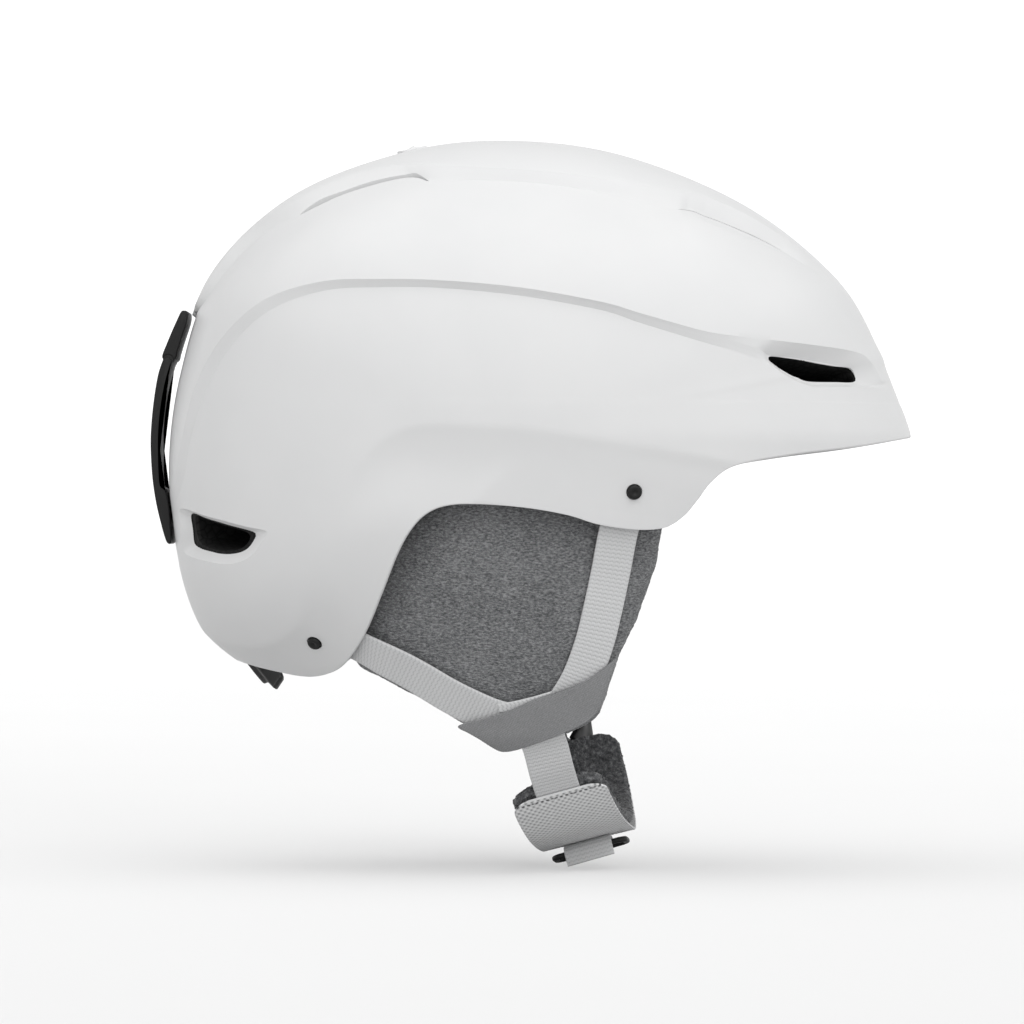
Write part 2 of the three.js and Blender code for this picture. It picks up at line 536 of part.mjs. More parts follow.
function earStraps() {
  const section = { width: WEBBING_WIDTH, low: -WEBBING_THICKNESS / 2, high: WEBBING_THICKNESS / 2 };
  const front = strip(
    [shellPoint(51, -15.5, STRAP_DEPTH), shellPoint(50, -22.4, STRAP_DEPTH), shellPoint(46.5, -36, STRAP_DEPTH + 2),
      onFace(42, -52, 1.6), onFace(40, -66), onFace(37.4, -79), onFace(32.5, -92)],
    { ...section, outStart: outOf(shellHalfWidth, 50, -22.4), outEnd: outOf(earFace, 34, -88), steps: 12 },
  );
  const rear = strip(
    [shellPoint(-79, -79, STRAP_DEPTH), shellPoint(-71.8, -80.5, STRAP_DEPTH), shellPoint(-62, -82, STRAP_DEPTH + 1.7),
      onFace(-46, -83.5, 2.6), onFace(-34, -90, 1.5), onFace(-20, -98), onFace(-9, -102.8)],
    { ...section, outStart: outOf(shellHalfWidth, -71.8, -80.5), outEnd: outOf(earFace, -12, -102), steps: 12 },
  );
  const lower = strip([onFace(12.5, -103.5, 1.05), onFace(14, -109.5, 1.05), onFace(15.4, -114.9, 1.2)],
    { ...section, outStart: outOf(earFace, 13, -104), outEnd: outOf(earFace, 15.6, -116), steps: 3 });
  addPair("lower_strap", lower, WEBBING);
  Object.entries({ front, rear }).forEach(([place, webbing]) => {
    const [x, z] = RIVETS[place];
    addPair(place + "_strap", webbing.subtract(rod(shellPoint(x, z, 0), shellPoint(x, z, 10), RIVET_HOLE_RADIUS, 16)), WEBBING);
    const post = rod(shellPoint(x, z, 0.8), shellPoint(x, z, 8.2), RIVET_HOLE_RADIUS - GAP, 16);
    const head = rod(shellPoint(x, z, 7.1), shellPoint(x, z, 8.2), 5, 16);
    addPair("strap_rivet_" + place, post.add(head), BLACK_PLASTIC);
  });
}

// ---------- chin strap, chin pad and buckle ----------
const CHIN_PATH = [
  [16.9, -70.6, -119.8], [19.4, -64.5, -129.5], [22.5, -53.5, -141], [26.5, -36, -151], [31, -10, -156.3],
  [33.5, 14, -155.4], [33.4, 32, -149], [31.6, 43.5, -137.5], [27.5, 49.5, -122],
];
const PAD_WIDTH = 36;

function chinStrap() {
  const half = WEBBING_THICKNESS / 2;
  const along = (width, low, high, from, to, steps, round) =>
    chinStrip(CHIN_PATH, { width, low, high, from, to, steps, round });
  add("chin_strap", along(WEBBING_WIDTH, -half, half, 0, 0.985, 22, 3.5), WEBBING);
  add("chin_pad_cover", along(PAD_WIDTH, 1.05, 2.1, 0.22, 0.96, 16, 2), WOVEN_NYLON);
  add("chin_pad_fleece", along(PAD_WIDTH, -5.4, -1.05, 0.19, 1, 16, 3), GREY_FLEECE);
  add("buckle_stud_plate", along(21, 2.5, 4.6, 0.86, 0.985, 3, 2), BLACK_PLASTIC);
  add("buckle_socket", along(24, 4.95, 10.2, 0.85, 0.985, 4, 3), BLACK_PLASTIC);
  const farStrap = strip([[17, 70.4, -119.9], [19.8, 66, -122.5], [23.4, 61.6, -122], [26, 58.6, -118.3]],
    { width: WEBBING_WIDTH, low: -half, high: half, outStart: [0.1, 0.8, -0.6], outEnd: [0, 0.75, -0.65], steps: 6,
      round: 3.5 });
  add("far_lower_strap", farStrap, WEBBING);

  // A loose rectangular slider under the pad, with the folded tail of the webbing through it.
  const ring = box([-15.5, -7, -1.1], [15.5, 7, 1.1]).subtract(box([-13, -4.6, -3], [13, 4.6, 3]));
  const hang = (made) => made.rotate([-8, -13, -6]).translate([33, -8, -162.4]);
  add("strap_slider", hang(ring), BLACK_PLASTIC);
  const tail = strip([[0, 0.5, 1.2], [0, -2.2, 2.2], [0, -6, 2.6], [0, -8.9, 0], [0, -9.4, -5]],
    { width: 19, low: -0.6, high: 0.6, outStart: [0, 0, 1], outEnd: [0, -1, 0], steps: 10 });
  add("strap_tail", hang(tail), WEBBING);
}

// A strip along the chin path. Its width leans forward with the loop; outwards is away from the head.
function chinStrip(points, options) {
  const curve = new THREE.CatmullRomCurve3(points.map((p) => new THREE.Vector3(...p)), false, "catmullrom", 0.5);
  const { width, low, high, from, to, steps, round } = options;
  const first = new THREE.Vector3(0.94, -0.1, 0.31);
  const last = new THREE.Vector3(0.98, 0.06, 0.14);
  const loops = [];
  for (let i = 0; i <= steps; i += 1) {
    const t = THREE.MathUtils.lerp(from, to, i / steps);
    const along = curve.getTangent(t);
    const wide = first.clone().lerp(last, t);
    wide.addScaledVector(along, -wide.dot(along)).normalize();
    const out = along.clone().cross(wide);
    const half = (i === 0 || i === steps) ? width / 2 - round : width / 2;
    const corner = (w, h) => curve.getPoint(t).addScaledVector(wide, w).addScaledVector(out, h);
    loops.push([corner(-half, low), corner(half, low), corner(half, high), corner(-half, high)]);
  }
  return loft(loops);
}

shells();
liner();
padding();
fitSystem();
ventSlider();
retainer();
earPads();
earStraps();
chinStrap();

export default helmet;
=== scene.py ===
import json
import math
import bmesh
import bpy
import numpy as np
from mathutils import Matrix, Vector, noise


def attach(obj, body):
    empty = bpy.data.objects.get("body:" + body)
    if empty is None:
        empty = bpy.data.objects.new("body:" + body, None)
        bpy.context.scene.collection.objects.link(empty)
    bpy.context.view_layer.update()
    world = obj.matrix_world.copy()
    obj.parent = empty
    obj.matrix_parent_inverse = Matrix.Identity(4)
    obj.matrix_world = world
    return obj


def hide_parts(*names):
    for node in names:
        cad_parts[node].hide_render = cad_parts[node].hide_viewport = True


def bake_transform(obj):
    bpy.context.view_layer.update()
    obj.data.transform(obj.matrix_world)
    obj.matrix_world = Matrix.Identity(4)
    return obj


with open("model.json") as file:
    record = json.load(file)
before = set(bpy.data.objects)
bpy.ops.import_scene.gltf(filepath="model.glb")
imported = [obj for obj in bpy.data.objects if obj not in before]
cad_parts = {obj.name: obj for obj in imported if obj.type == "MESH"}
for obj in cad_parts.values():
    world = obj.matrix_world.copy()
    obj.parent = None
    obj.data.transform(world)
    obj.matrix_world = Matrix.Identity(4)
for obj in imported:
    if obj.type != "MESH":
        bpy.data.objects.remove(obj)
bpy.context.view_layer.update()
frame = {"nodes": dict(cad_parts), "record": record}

# A ski helmet in its own frame: +X to the front, +Y to the wearer's left, +Z up. Lengths are millimetres until
# mesh() turns them to metres, side-view points are (x, z), and a side's pieces are made on the left.
HALF_WIDTH, CAVITY_HALF_WIDTH = 106.0, 85.0
ROUND = 2.2  # power of the shell's and the cavity's cross-sections: 2 is an ellipse
SKIN, LINER_GAP = 2.6, 2.95  # depth of the shell's inner face and of the foam's outer face
WEBBING_WIDTH, WEBBING_HALF = 15, 0.7
CHIN_WEBBING_WIDTH = 17.2
WEAVE, RIB = (1.3, 1.25), 1.6  # yarn pitch of the basket weave along and across, rib pitch of the webbing
RIVETS = {"front": (50.1, -22.4), "rear": (-71.8, -80.5)}
EAR_THICK = 13
FLOOR_Z, FLOOR_SIZE = -0.1685, 120  # metres
FLOOR_PALE, FLOOR_NAP = 0.57, 0.3
HORIZON, SKY = 1.22, 0.6  # brightness of the studio at the horizon and overhead
LIGHTS = [("key", 10, 12, 90, 1.72), ("front", 15, 56, 60, 0.84)]  # turn, tilt and spread in degrees, W/m2

# ---------- side-view outlines ----------
PROFILE = [
    (159.5, -1), (157.7, 6), (154.6, 14), (149.9, 26), (146.9, 33.8), (131, 60.5), (95, 89.5), (46, 109.5),
    (0, 115), (-40, 110), (-82.5, 93), (-113.5, 63), (-126.5, 24), (-129.3, -20), (-122.5, -62),
    (-106.5, -87.5), (-72, -109), (-20, -125), (40, -126), (100, -100), (145, -52), (155.4, -25), (158.9, -9),
]
CAVITY = [
    (104, 0), (96, 42), (66, 76), (0, 88), (-66, 76), (-96, 42), (-104, 0), (-99, -60), (-84, -120),
    (0, -200), (88, -120), (101, -60),
]
RIM = [
    (159.4, -0.2), (146, -2.6), (133, -4.6), (112, -7.2), (94, -10.2), (85.5, -13), (79, -18.5), (74.5, -25),
    (69.5, -31), (62.5, -35.3), (52, -36.2), (37, -34.2), (25, -30.6), (9, -27.8), (-9, -26.4), (-21, -27),
    (-29, -30.3), (-35, -36.8), (-40, -46), (-46, -61), (-51.5, -74), (-57, -83.3), (-63, -90), (-71, -93.6),
    (-79, -94), (-91, -91.8), (-100, -89.6), (-106.5, -87.5),
]


# ---------- curves ----------
def spline(points, ts, closed=False):
    """Points of a Catmull-Rom curve at parameters 0 to 1."""
    p = np.array(points, float)
    n = len(p)
    ts = np.asarray(ts, float)
    if closed:
        s = (ts % 1.0) * n
        i = np.floor(s).astype(int)
        f = s - i
        a, b, c, d = p[(i - 1) % n], p[i % n], p[(i + 1) % n], p[(i + 2) % n]
    else:
        p = np.vstack([2 * p[0] - p[1], p, 2 * p[-1] - p[-2]])
        s = np.clip(ts, 0, 1) * (n - 1)
        i = np.minimum(np.floor(s).astype(int), n - 2)
        f = s - i
        a, b, c, d = p[i], p[i + 1], p[i + 2], p[i + 3]
    f = f[:, None]
    return 0.5 * (2 * b + (c - a) * f + (2 * a - 5 * b + 4 * c - d) * f**2 + (3 * b - a - 3 * c + d) * f**3)


def even(points, count, closed=False):
    """Evenly spaced points along a Catmull-Rom curve."""
    dense = spline(points, np.linspace(0, 1, 3000, endpoint=not closed), closed)
    if closed:
        dense = np.vstack([dense, dense[:1]])
    run = np.concatenate([[0], np.cumsum(np.linalg.norm(np.diff(dense, axis=0), axis=1))])
    at = np.linspace(0, run[-1], count, endpoint=not closed)
    return np.stack([np.interp(at, run, dense[:, k]) for k in range(dense.shape[1])], 1)


def outlined(points, count):
    """Evenly spaced points of a closed flat curve, and the normal at each."""
    line = even(points, count, True)
    d = np.roll(line, -1, axis=0) - np.roll(line, 1, axis=0)
    return line, np.stack([d[:, 1], -d[:, 0]], 1) / np.linalg.norm(d, axis=1)[:, None]


def smooth(lo, hi, x):
    """0 below lo, 1 above hi, and an S-curve between."""
    t = np.clip((np.asarray(x, float) - lo) / (hi - lo), 0, 1)
    return t * t * (3 - 2 * t)


def table(x, rows):
    """Linear look-up in (x, value) rows given in any order."""
    rows = sorted(rows)
    return np.interp(x, [r[0] for r in rows], [r[1] for r in rows])


# ---------- the egg-shaped surfaces ----------
class Egg:
    """A body whose outline in the side view is a profile and whose sections across are super-ellipses. inset
    shrinks it all round."""

    def __init__(self, profile, half_width, inset=0.0):
        edge = spline(profile, np.linspace(0, 1, 7200, endpoint=False), True)
        angle = np.unwrap(np.arctan2(edge[:, 1], edge[:, 0]))
        reach = np.hypot(edge[:, 0], edge[:, 1]) - inset
        order = np.argsort(angle % (2 * np.pi))
        self.angle, self.reach = (angle % (2 * np.pi))[order], reach[order]
        self.w = half_width - inset

    def radius(self, theta):
        return np.interp(np.asarray(theta) % (2 * np.pi), self.angle, self.reach, period=2 * np.pi)

    def point(self, q):
        """q is a point of the flattened half egg: its direction is the direction in the side view, its length
        is the angle from the side pole, and the mid-plane lies at a length of a quarter turn."""
        theta = np.arctan2(q[..., 1], q[..., 0])
        phi = np.clip(np.hypot(q[..., 0], q[..., 1]), 0, np.pi / 2)
        s = np.sin(phi) ** (2 / ROUND)
        r = self.radius(theta)
        y = self.w * np.maximum(np.cos(phi), 0) ** (2 / ROUND)
        y = np.where(phi > np.pi / 2 - 1e-7, 0.0, y)
        return np.stack([r * s * np.cos(theta), y, r * s * np.sin(theta)], -1)

    def flat(self, xz):
        """The flattened position of side-view points."""
        xz = np.asarray(xz, float)
        theta = np.arctan2(xz[..., 1], xz[..., 0])
        rho = np.clip(np.hypot(xz[..., 0], xz[..., 1]) / self.radius(theta), 0, 1)
        phi = np.arcsin(rho ** (ROUND / 2))
        return np.stack([phi * np.cos(theta), phi * np.sin(theta)], -1)

    def field(self, p):
        theta = np.arctan2(p[..., 2], p[..., 0])
        return ((np.hypot(p[..., 0], p[..., 2]) / self.radius(theta)) ** ROUND
                + (np.abs(p[..., 1]) / self.w) ** ROUND)

    def normal(self, p):
        e = 0.4
        g = np.stack([self.field(p + d) - self.field(p - d) for d in np.eye(3) * e], -1)
        g[..., 1] = np.where(np.abs(p[..., 1]) < 1e-6, 0, g[..., 1])
        return g / np.linalg.norm(g, axis=-1, keepdims=True)

    def at(self, xz):
        return self.point(self.flat(xz))


SHELL = Egg(PROFILE, HALF_WIDTH)
LOW_PROFILE = [(x, z - 2.5 * min(max((z + 40) / 155, 0), 1)) for x, z in PROFILE]
INNER = Egg(LOW_PROFILE, HALF_WIDTH, SKIN)


# ---------- meshes ----------
def mesh(name, verts, faces, uvs=None):
    """A new object from millimetre vertices. uvs is one (u, v) per vertex."""
    data = bpy.data.meshes.new(name)
    data.from_pydata((np.asarray(verts, float) * 0.001).tolist(), [], [list(map(int, f)) for f in faces])
    if uvs is not None:
        layer = data.uv_layers.new(name="UVMap")
        loops = np.zeros(len(data.loops), np.int32)
        data.loops.foreach_get("vertex_index", loops)
        layer.data.foreach_set("uv", np.asarray(uvs, np.float32)[loops].ravel())
    data.update()
    data.validate()
    obj = bpy.data.objects.new(name, data)
    bpy.context.scene.collection.objects.link(obj)
    return obj


def outward(obj):
    """Turns every face outwards."""
    b = bmesh.new()
    b.from_mesh(obj.data)
    bmesh.ops.recalc_face_normals(b, faces=b.faces)
    b.to_mesh(obj.data)
    b.free()
    return obj


def smooth_shade(obj, angle=32):
    """Shades smoothly, with edges sharper than the angle left sharp."""
    obj.data.shade_smooth()
    obj.data.set_sharp_from_angle(angle=math.radians(angle))
    return obj


def bake(obj):
    """Applies obj's modifiers."""
    dg = bpy.context.evaluated_depsgraph_get()
    made = bpy.data.meshes.new_from_object(obj.evaluated_get(dg))
    obj.modifiers.clear()
    obj.data = made
    return obj


def cut(obj, cutter, operation="DIFFERENCE"):
    """Cuts the other body off obj, or joins it on, and removes it."""
    m = obj.modifiers.new("cut", "BOOLEAN")
    m.operation, m.solver, m.object = operation, "MANIFOLD", cutter
    bake(obj)
    bpy.data.objects.remove(cutter)
    return obj


def grid_faces(rows, cols, wrap=False, start=0, flip=False):
    """Quads between neighbouring rows of a grid of points."""
    out = []
    for i in range(rows - 1):
        for j in range(cols if wrap else cols - 1):
            a, b = start + i * cols + j, start + i * cols + (j + 1) % cols
            f = (a, b, b + cols, a + cols)
            out.append(f[::-1] if flip else f)
    return out


def tube(name, rings, uvs=None, caps=True):
    """A closed body through matching closed rings of points."""
    rings = np.asarray(rings, float)
    n, m = rings.shape[:2]
    verts = rings.reshape(-1, 3)
    faces = grid_faces(n, m, wrap=True)
    if caps:
        verts = np.vstack([verts, rings[0].mean(0), rings[-1].mean(0)])
        faces += [(n * m, (j + 1) % m, j) for j in range(m)]
        faces += [(n * m + 1, (n - 1) * m + j, (n - 1) * m + (j + 1) % m) for j in range(m)]
        if uvs is not None:
            uvs = np.vstack([uvs, uvs[0], uvs[-1]])
    return outward(mesh(name, verts, faces, uvs))


def finer(obj, shape, along, around):
    """Divides a closed body of rings more finely, along smooth curves both ways."""
    n, m = shape
    g = points_of(obj)[:n * m].reshape(n, m * 3)
    g = spline(g, np.linspace(0, 1, (n - 1) * along + 1)).reshape(-1, m, 3)
    g = g.transpose(1, 0, 2).reshape(m, -1)
    g = spline(g, np.linspace(0, 1, m * around, endpoint=False), True).reshape(m * around, -1, 3)
    g = g.transpose(1, 0, 2)
    new = tube(obj.name, g)
    obj.data = new.data
    bpy.data.objects.remove(new)
    return obj


def points_of(obj):
    """A mesh's points in millimetres."""
    co = np.empty(len(obj.data.vertices) * 3)
    obj.data.vertices.foreach_get("co", co)
    return co.reshape(-1, 3) * 1000


def move_to(obj, points):
    obj.data.vertices.foreach_set("co", (np.asarray(points) * 0.001).ravel())
    obj.data.update()
    return obj


def joined(parts):
    """One cutter made of several bodies that don't touch."""
    b = bmesh.new()
    for part in parts:
        b.from_mesh(part.data)
        bpy.data.objects.remove(part)
    data = bpy.data.meshes.new("cutters")
    b.to_mesh(data)
    b.free()
    obj = bpy.data.objects.new("cutters", data)
    bpy.context.scene.collection.objects.link(obj)
    return obj


def with_mirror(cutter):
    """A cutter and its twin on the other side."""
    return [cutter, mirrored(cutter, "cutter_other")]


def mirrored(obj, name):
    """A copy on the other side of the mid-plane."""
    other = obj.copy()
    other.data = obj.data.copy()
    other.name = other.data.name = name
    bpy.context.scene.collection.objects.link(other)
    other.data.transform(Matrix.Diagonal((1, -1, 1, 1)))
    other.data.flip_normals()
    return other


def circle(a, b, sides):
    """The axis from a to b, and a unit circle of points about it."""
    d = (b - a) / np.linalg.norm(b - a)
    u = np.cross(d, [0, 0, 1])
    u /= np.linalg.norm(u)
    v = np.cross(d, u)
    t = np.linspace(0, 2 * np.pi, sides, endpoint=False)[:, None]
    return d, np.cos(t) * u + np.sin(t) * v


def rod(a, b, radius, sides):
    """A round bar from a to b."""
    a, b = np.array(a, float), np.array(b, float)
    ring = circle(a, b, sides)[1] * radius
    return tube("rod", [a + ring, b + ring])


# ---------- the shell ----------
STATIONS = 360  # columns of the shell's grid, from the brim to the nape
ROW_COUNTS = [64, 5, 6, 6, 38, 6, 18]  # rows in each band between the key lines, from the rim up
VENT_BANDS = {1: (0, 0.3), 2: (0.3, 0.35), 3: (0.65, 0.35)}  # start and share of the step's whole rise
DECK_BAND, SPINE_BAND = 4, 5
TUCK, TUCK_RUN = 3.0, 12  # how deep the side dishes in under the crease, and over what distance
NAPE_TUCK, NAPE_RUN = 2.8, 6
CREASE = [
    (96, -13.5), (87.4, -11.3), (62, -6.6), (36.8, -2.7), (10, 1), (-8.1, 2.2), (-26, 3), (-37, 1.2),
    (-47.4, -5), (-56, -16), (-61, -30), (-64, -48),
]
NAPE_CREASE = [
    (-122, -72.6), (-117.5, -75.2), (-111.5, -78.6), (-105, -80.6), (-97, -81.5), (-89, -80.4), (-82, -76.8),
    (-77.4, -71.4), (-74, -63), (-71, -52),
]
STEP_FOOT = [
    (152.6, 18.2), (145.5, 18.2), (130, 17.9), (118.3, 17.9), (108.9, 21.3), (99.4, 27), (87, 31.2),
    (74.9, 34.5), (52.2, 41.3), (37.1, 46.2), (6.9, 51.5), (-23.3, 54.5), (-45.9, 54.9), (-64.8, 54.2),
    (-81.8, 49.6), (-95, 41.7), (-106.3, 28.9), (-113.9, 14.5), (-119.6, -3.2), (-122.4, -18), (-126, -26),
    (-129.2, -33),
]
STEP_LIP = [
    (150.8, 23), (146.5, 20.6), (143.5, 24.6), (139.5, 28.9), (133.4, 31.3), (118, 33.2), (101.3, 34.9),
    (87, 36.2), (74.9, 37.9), (52.2, 44), (37.1, 48.3), (6.9, 53.6), (-23.3, 56.4), (-45.9, 57),
    (-64.8, 56.6), (-83.7, 52.1), (-96.9, 44.2), (-108.2, 31.6), (-116, 16.4), (-121.4, -2.5), (-124.4, -15),
    (-127.2, -21), (-129.35, -25),
]
VENT_LOW = [
    (152.1, 19.6), (143, 19.2), (134.5, 20.2), (117.5, 20.5), (110.5, 23), (104, 27.2), (99.6, 29),
    (87, 32.8), (74.9, 35.6), (52.2, 42.2), (37.1, 46.9), (6.9, 52.2), (-23.3, 55.1), (-45.9, 55.6),
    (-64.8, 55), (-82.4, 50.4), (-95.6, 42.5), (-107, 29.8), (-114.6, 15.1), (-120.2, -3), (-123.1, -17),
    (-126.4, -24.4), (-129.25, -30.4),
]
VENT_HIGH = [
    (151.5, 21.2), (144, 19.9), (136, 23.6), (129, 26.9), (118, 28.5), (108, 29.6), (101, 30.4), (87, 34.4),
    (74.9, 36.8), (52.2, 43.2), (37.1, 47.7), (6.9, 52.9), (-23.3, 55.8), (-45.9, 56.3), (-64.8, 55.8),
    (-83, 51.3), (-96.2, 43.4), (-107.6, 30.7), (-115.3, 15.7), (-120.8, -2.8), (-123.8, -16),
    (-126.8, -22.6), (-129.3, -27.6),
]
SPINE_FOOT = [
    (131.9, 59.3), (125.6, 62.6), (119.3, 65.6), (113.3, 70), (106.5, 75), (95.5, 81), (87, 84.8), (80, 87),
    (72, 88.6), (66, 88), (41.7, 93.5), (15, 97.6), (-8, 99), (-25, 99), (-33, 101), (-40, 100.8), (-61, 95),
    (-77, 87.4), (-94, 79.6), (-107, 66.6), (-116.2, 53.6), (-121.6, 46.8),
]
SPINE_EDGE = [
    (131.3, 60.3), (126.5, 63.6), (119.2, 69.2), (106.9, 77.5), (94.8, 84.6), (83.9, 89.6), (71.8, 93.3),
    (46, 96.8), (15, 100.4), (-12.5, 102.2), (-25, 103.2), (-35, 103.9), (-51.5, 102.2), (-64, 98.4),
    (-79, 91.4), (-96.5, 81.4), (-109.3, 66.6), (-118, 52.6), (-121.9, 47.6),
]


def ridge(distance, width):
    """Smooth one-sided ramp: 0 for negative distances, then growing one for one."""
    return 0.5 * (distance + np.sqrt(distance**2 + width**2)) - 0.5 * width


def beside(line, xz):
    """Signed distance of side-view points from an open line, positive to its left, and the nearest share."""
    line = even(line, 260)
    a, b = line[:-1], line[1:]
    best = np.full(len(xz), 1e9)
    sign, share = np.zeros(len(xz)), np.zeros(len(xz))
    for k in range(len(a)):
        d = b[k] - a[k]
        t = np.clip(((xz - a[k]) @ d) / (d @ d), 0, 1)
        off = xz - (a[k] + t[:, None] * d)
        dist = np.hypot(off[:, 0], off[:, 1])
        near = dist < best
        best = np.where(near, dist, best)
        sign = np.where(near, np.sign(d[0] * off[:, 1] - d[1] * off[:, 0]), sign)
        share = np.where(near, (k + t) / len(a), share)
    return best * sign, share


def rows_between(keys, counts):
    """Rows between flattened key lines that run from the front to the rear mid-plane. Rows run straight in
    the flat map, and near the two ends they turn about its centre, so that they keep to the mid-plane."""
    u = np.linspace(0, 1, len(keys[0]))
    for k in keys:
        for end in (0, -1):
            k[end] *= (np.pi / 2) / np.hypot(*k[end])
    planar = (smooth(0.02, 0.16, u) * (1 - smooth(0.84, 0.98, u)))[:, None]
    rows, tags = [], []
    for band, count in enumerate(counts):
        a, b = keys[band], keys[band + 1]
        ta, tb = np.arctan2(a[:, 1], a[:, 0]), np.arctan2(b[:, 1], b[:, 0])
        rear = u > 0.5
        ta, tb = np.where(rear, ta % (2 * np.pi), ta), np.where(rear, tb % (2 * np.pi), tb)
        ra, rb = np.hypot(a[:, 0], a[:, 1]), np.hypot(b[:, 0], b[:, 1])
        steps = range(count + 1) if band == len(counts) - 1 else range(count)
        for i in steps:
            s = i / count
            th, r = ta + (tb - ta) * s, ra + (rb - ra) * s
            polar = np.stack([np.cos(th) * r, np.sin(th) * r], 1)
            rows.append(planar * (a + (b - a) * s) + (1 - planar) * polar)
            tags.append((band, s))
    rows = np.array(rows)
    reach = np.hypot(rows[..., 0], rows[..., 1])
    rows[:-1, 1:-1] *= np.minimum(1, (np.pi / 2 - 0.003) / reach[:-1, 1:-1])[..., None]
    return rows, tags


def crown_line(front, rear, stations):
    """The mid-plane in the flat map, from one angle to another."""
    top = np.linspace(front, rear, stations)
    return np.stack([np.cos(top), np.sin(top)], 1) * np.pi / 2


def shell_rows():
    """The side-view key lines as flattened rows from the rim to the mid-plane, and the rows between them."""
    keys = [SHELL.flat(even(line, STATIONS)) for line in
            (RIM, STEP_FOOT, VENT_LOW, VENT_HIGH, STEP_LIP, SPINE_FOOT, SPINE_EDGE)]
    keys.append(crown_line(math.atan2(61.6, 130.2), math.atan2(48.8, -121.95), STATIONS))
    rows, tags = rows_between(keys, ROW_COUNTS)
    return rows, tags, keys


def shell_heights(base, tags, keys):
    """How far each row stands off the plain egg, along its normal."""
    lip_x = SHELL.point(keys[4])[:, 0]
    spine_x = SHELL.point(keys[5])[:, 0]
    lip = table(lip_x, [(152, 0), (146, 0.2), (138, 1.2), (120, 1.7), (98, 1.7), (62, 2.4), (10, 2.5),
                        (-40, 2.3), (-95, 2.3), (-116, 2.1), (-125, 1.2), (-130, 0)])
    vent = table(lip_x, [(150, 0), (145, 1.4), (139, 3.4), (112, 3.4), (104, 2.2), (98, 0.5), (90, 0),
                         (-130, 0)])
    sunk = table(spine_x, [(132, 0), (122, 1.3), (95, 2.1), (40, 2.5), (0, 2.6), (-30, 2.6), (-70, 2.8),
                           (-100, 2.9), (-116, 2.4), (-122, 1.6)])
    out = []
    for band, s in tags:
        e = s * s * (3 - 2 * s)
        out.append([
            0 * lip,
            -vent * s,
            -vent + 0 * s,
            lip * s - vent * (1 - s),
            lip * (1 - e) - sunk * e,
            -sunk * (1 - s),
            0 * lip,
        ][band])
        if band in VENT_BANDS:  # where there is no vent the whole step rises evenly from foot to lip
            begin, part = VENT_BANDS[band]
            through = begin + s * part
            plain = 1 - smooth(0.2, 2.6, vent)
            out[-1] = out[-1] * (1 - plain) + lip * through * plain
    high = np.array(out)

    xz = base[..., [0, 2]].reshape(-1, 2)
    side, _ = beside(CREASE, xz)
    inside = ridge(side, 0.5)
    tuck = TUCK * (1 - np.exp(-inside / TUCK_RUN)) * (xz[:, 1] < 12) * (xz[:, 0] > -75)
    tuck = tuck * np.maximum(smooth(-38, -8, xz[:, 1]), smooth(-25, 10, xz[:, 0]))
    side, share = beside(NAPE_CREASE, xz)
    under = ridge(-side, 0.5)
    nape = NAPE_TUCK * (1 - np.exp(-under / NAPE_RUN)) * (1 - smooth(0.6, 1.0, share))
    nape = nape * (1 - smooth(-74, -50, xz[:, 0])) * (xz[:, 1] < -50)
    low_scoop, _ = beside([(74.5, 84.6), (86.6, 79.6), (103.4, 72.8), (119, 65.2)], xz)
    reach = np.clip(low_scoop, 0, 9)
    fade = smooth(68, 80, xz[:, 0]) * (1 - smooth(112, 120, xz[:, 0])) * (xz[:, 1] > 55)
    band_of = np.array([b for b, _ in tags])
    deck = np.repeat(band_of == DECK_BAND, STATIONS)
    scoop = -0.42 * reach * fade * deck
    extra = (-tuck - nape + scoop).reshape(high.shape)
    spine_rows = np.where(band_of == SPINE_BAND)[0]
    gap = extra[spine_rows[0] - 1]
    for k in spine_rows:
        extra[k] += gap * (1 - tags[k][1])
    return high + extra


def on_mid_plane(rows):
    """Puts both ends of each row on the mid-plane."""
    rows[..., [0, -1], 1] = 0
    return rows


def shell_grid():
    """Rows of the shell's left half: down the inner face, round the rolled rim and up the outer face."""
    flat, tags, keys = shell_rows()
    base = SHELL.point(flat)
    outer = on_mid_plane(base + SHELL.normal(base) * shell_heights(base, tags, keys)[..., None])
    pick = sorted({*range(0, len(tags), 5), len(tags) - 1})
    inner = on_mid_plane(INNER.point(flat[pick]))
    outer[-1, :, 1] = inner[-1, :, 1] = 0
    away = outer[0] - outer[1]
    away /= np.linalg.norm(away, axis=-1, keepdims=True)
    rolled = [outer[0] + (inner[0] - outer[0]) * (1 - math.cos(a)) / 2 + away * 0.7 * math.sin(a)
              for a in np.linspace(0, np.pi, 6)[1:-1]]
    return np.concatenate([inner[::-1], on_mid_plane(np.array(rolled))[::-1], outer])


def half_body(name, grid):
    """A closed body from rows that start and end on the mid-plane, with its mirror half."""
    rows, columns = grid.shape[:2]
    verts = grid.reshape(-1, 3)
    index = np.arange(len(verts))
    other = np.where(np.abs(verts[:, 1]) < 1e-9, index, index + len(verts))
    quads = np.array(grid_faces(rows, columns))
    used = np.vstack([quads, other[quads][:, ::-1]])
    keep = np.unique(used)
    where = np.zeros(2 * len(verts), int)
    where[keep] = np.arange(len(keep))
    return outward(mesh(name, np.vstack([verts, verts * [1, -1, 1]])[keep], where[used]))


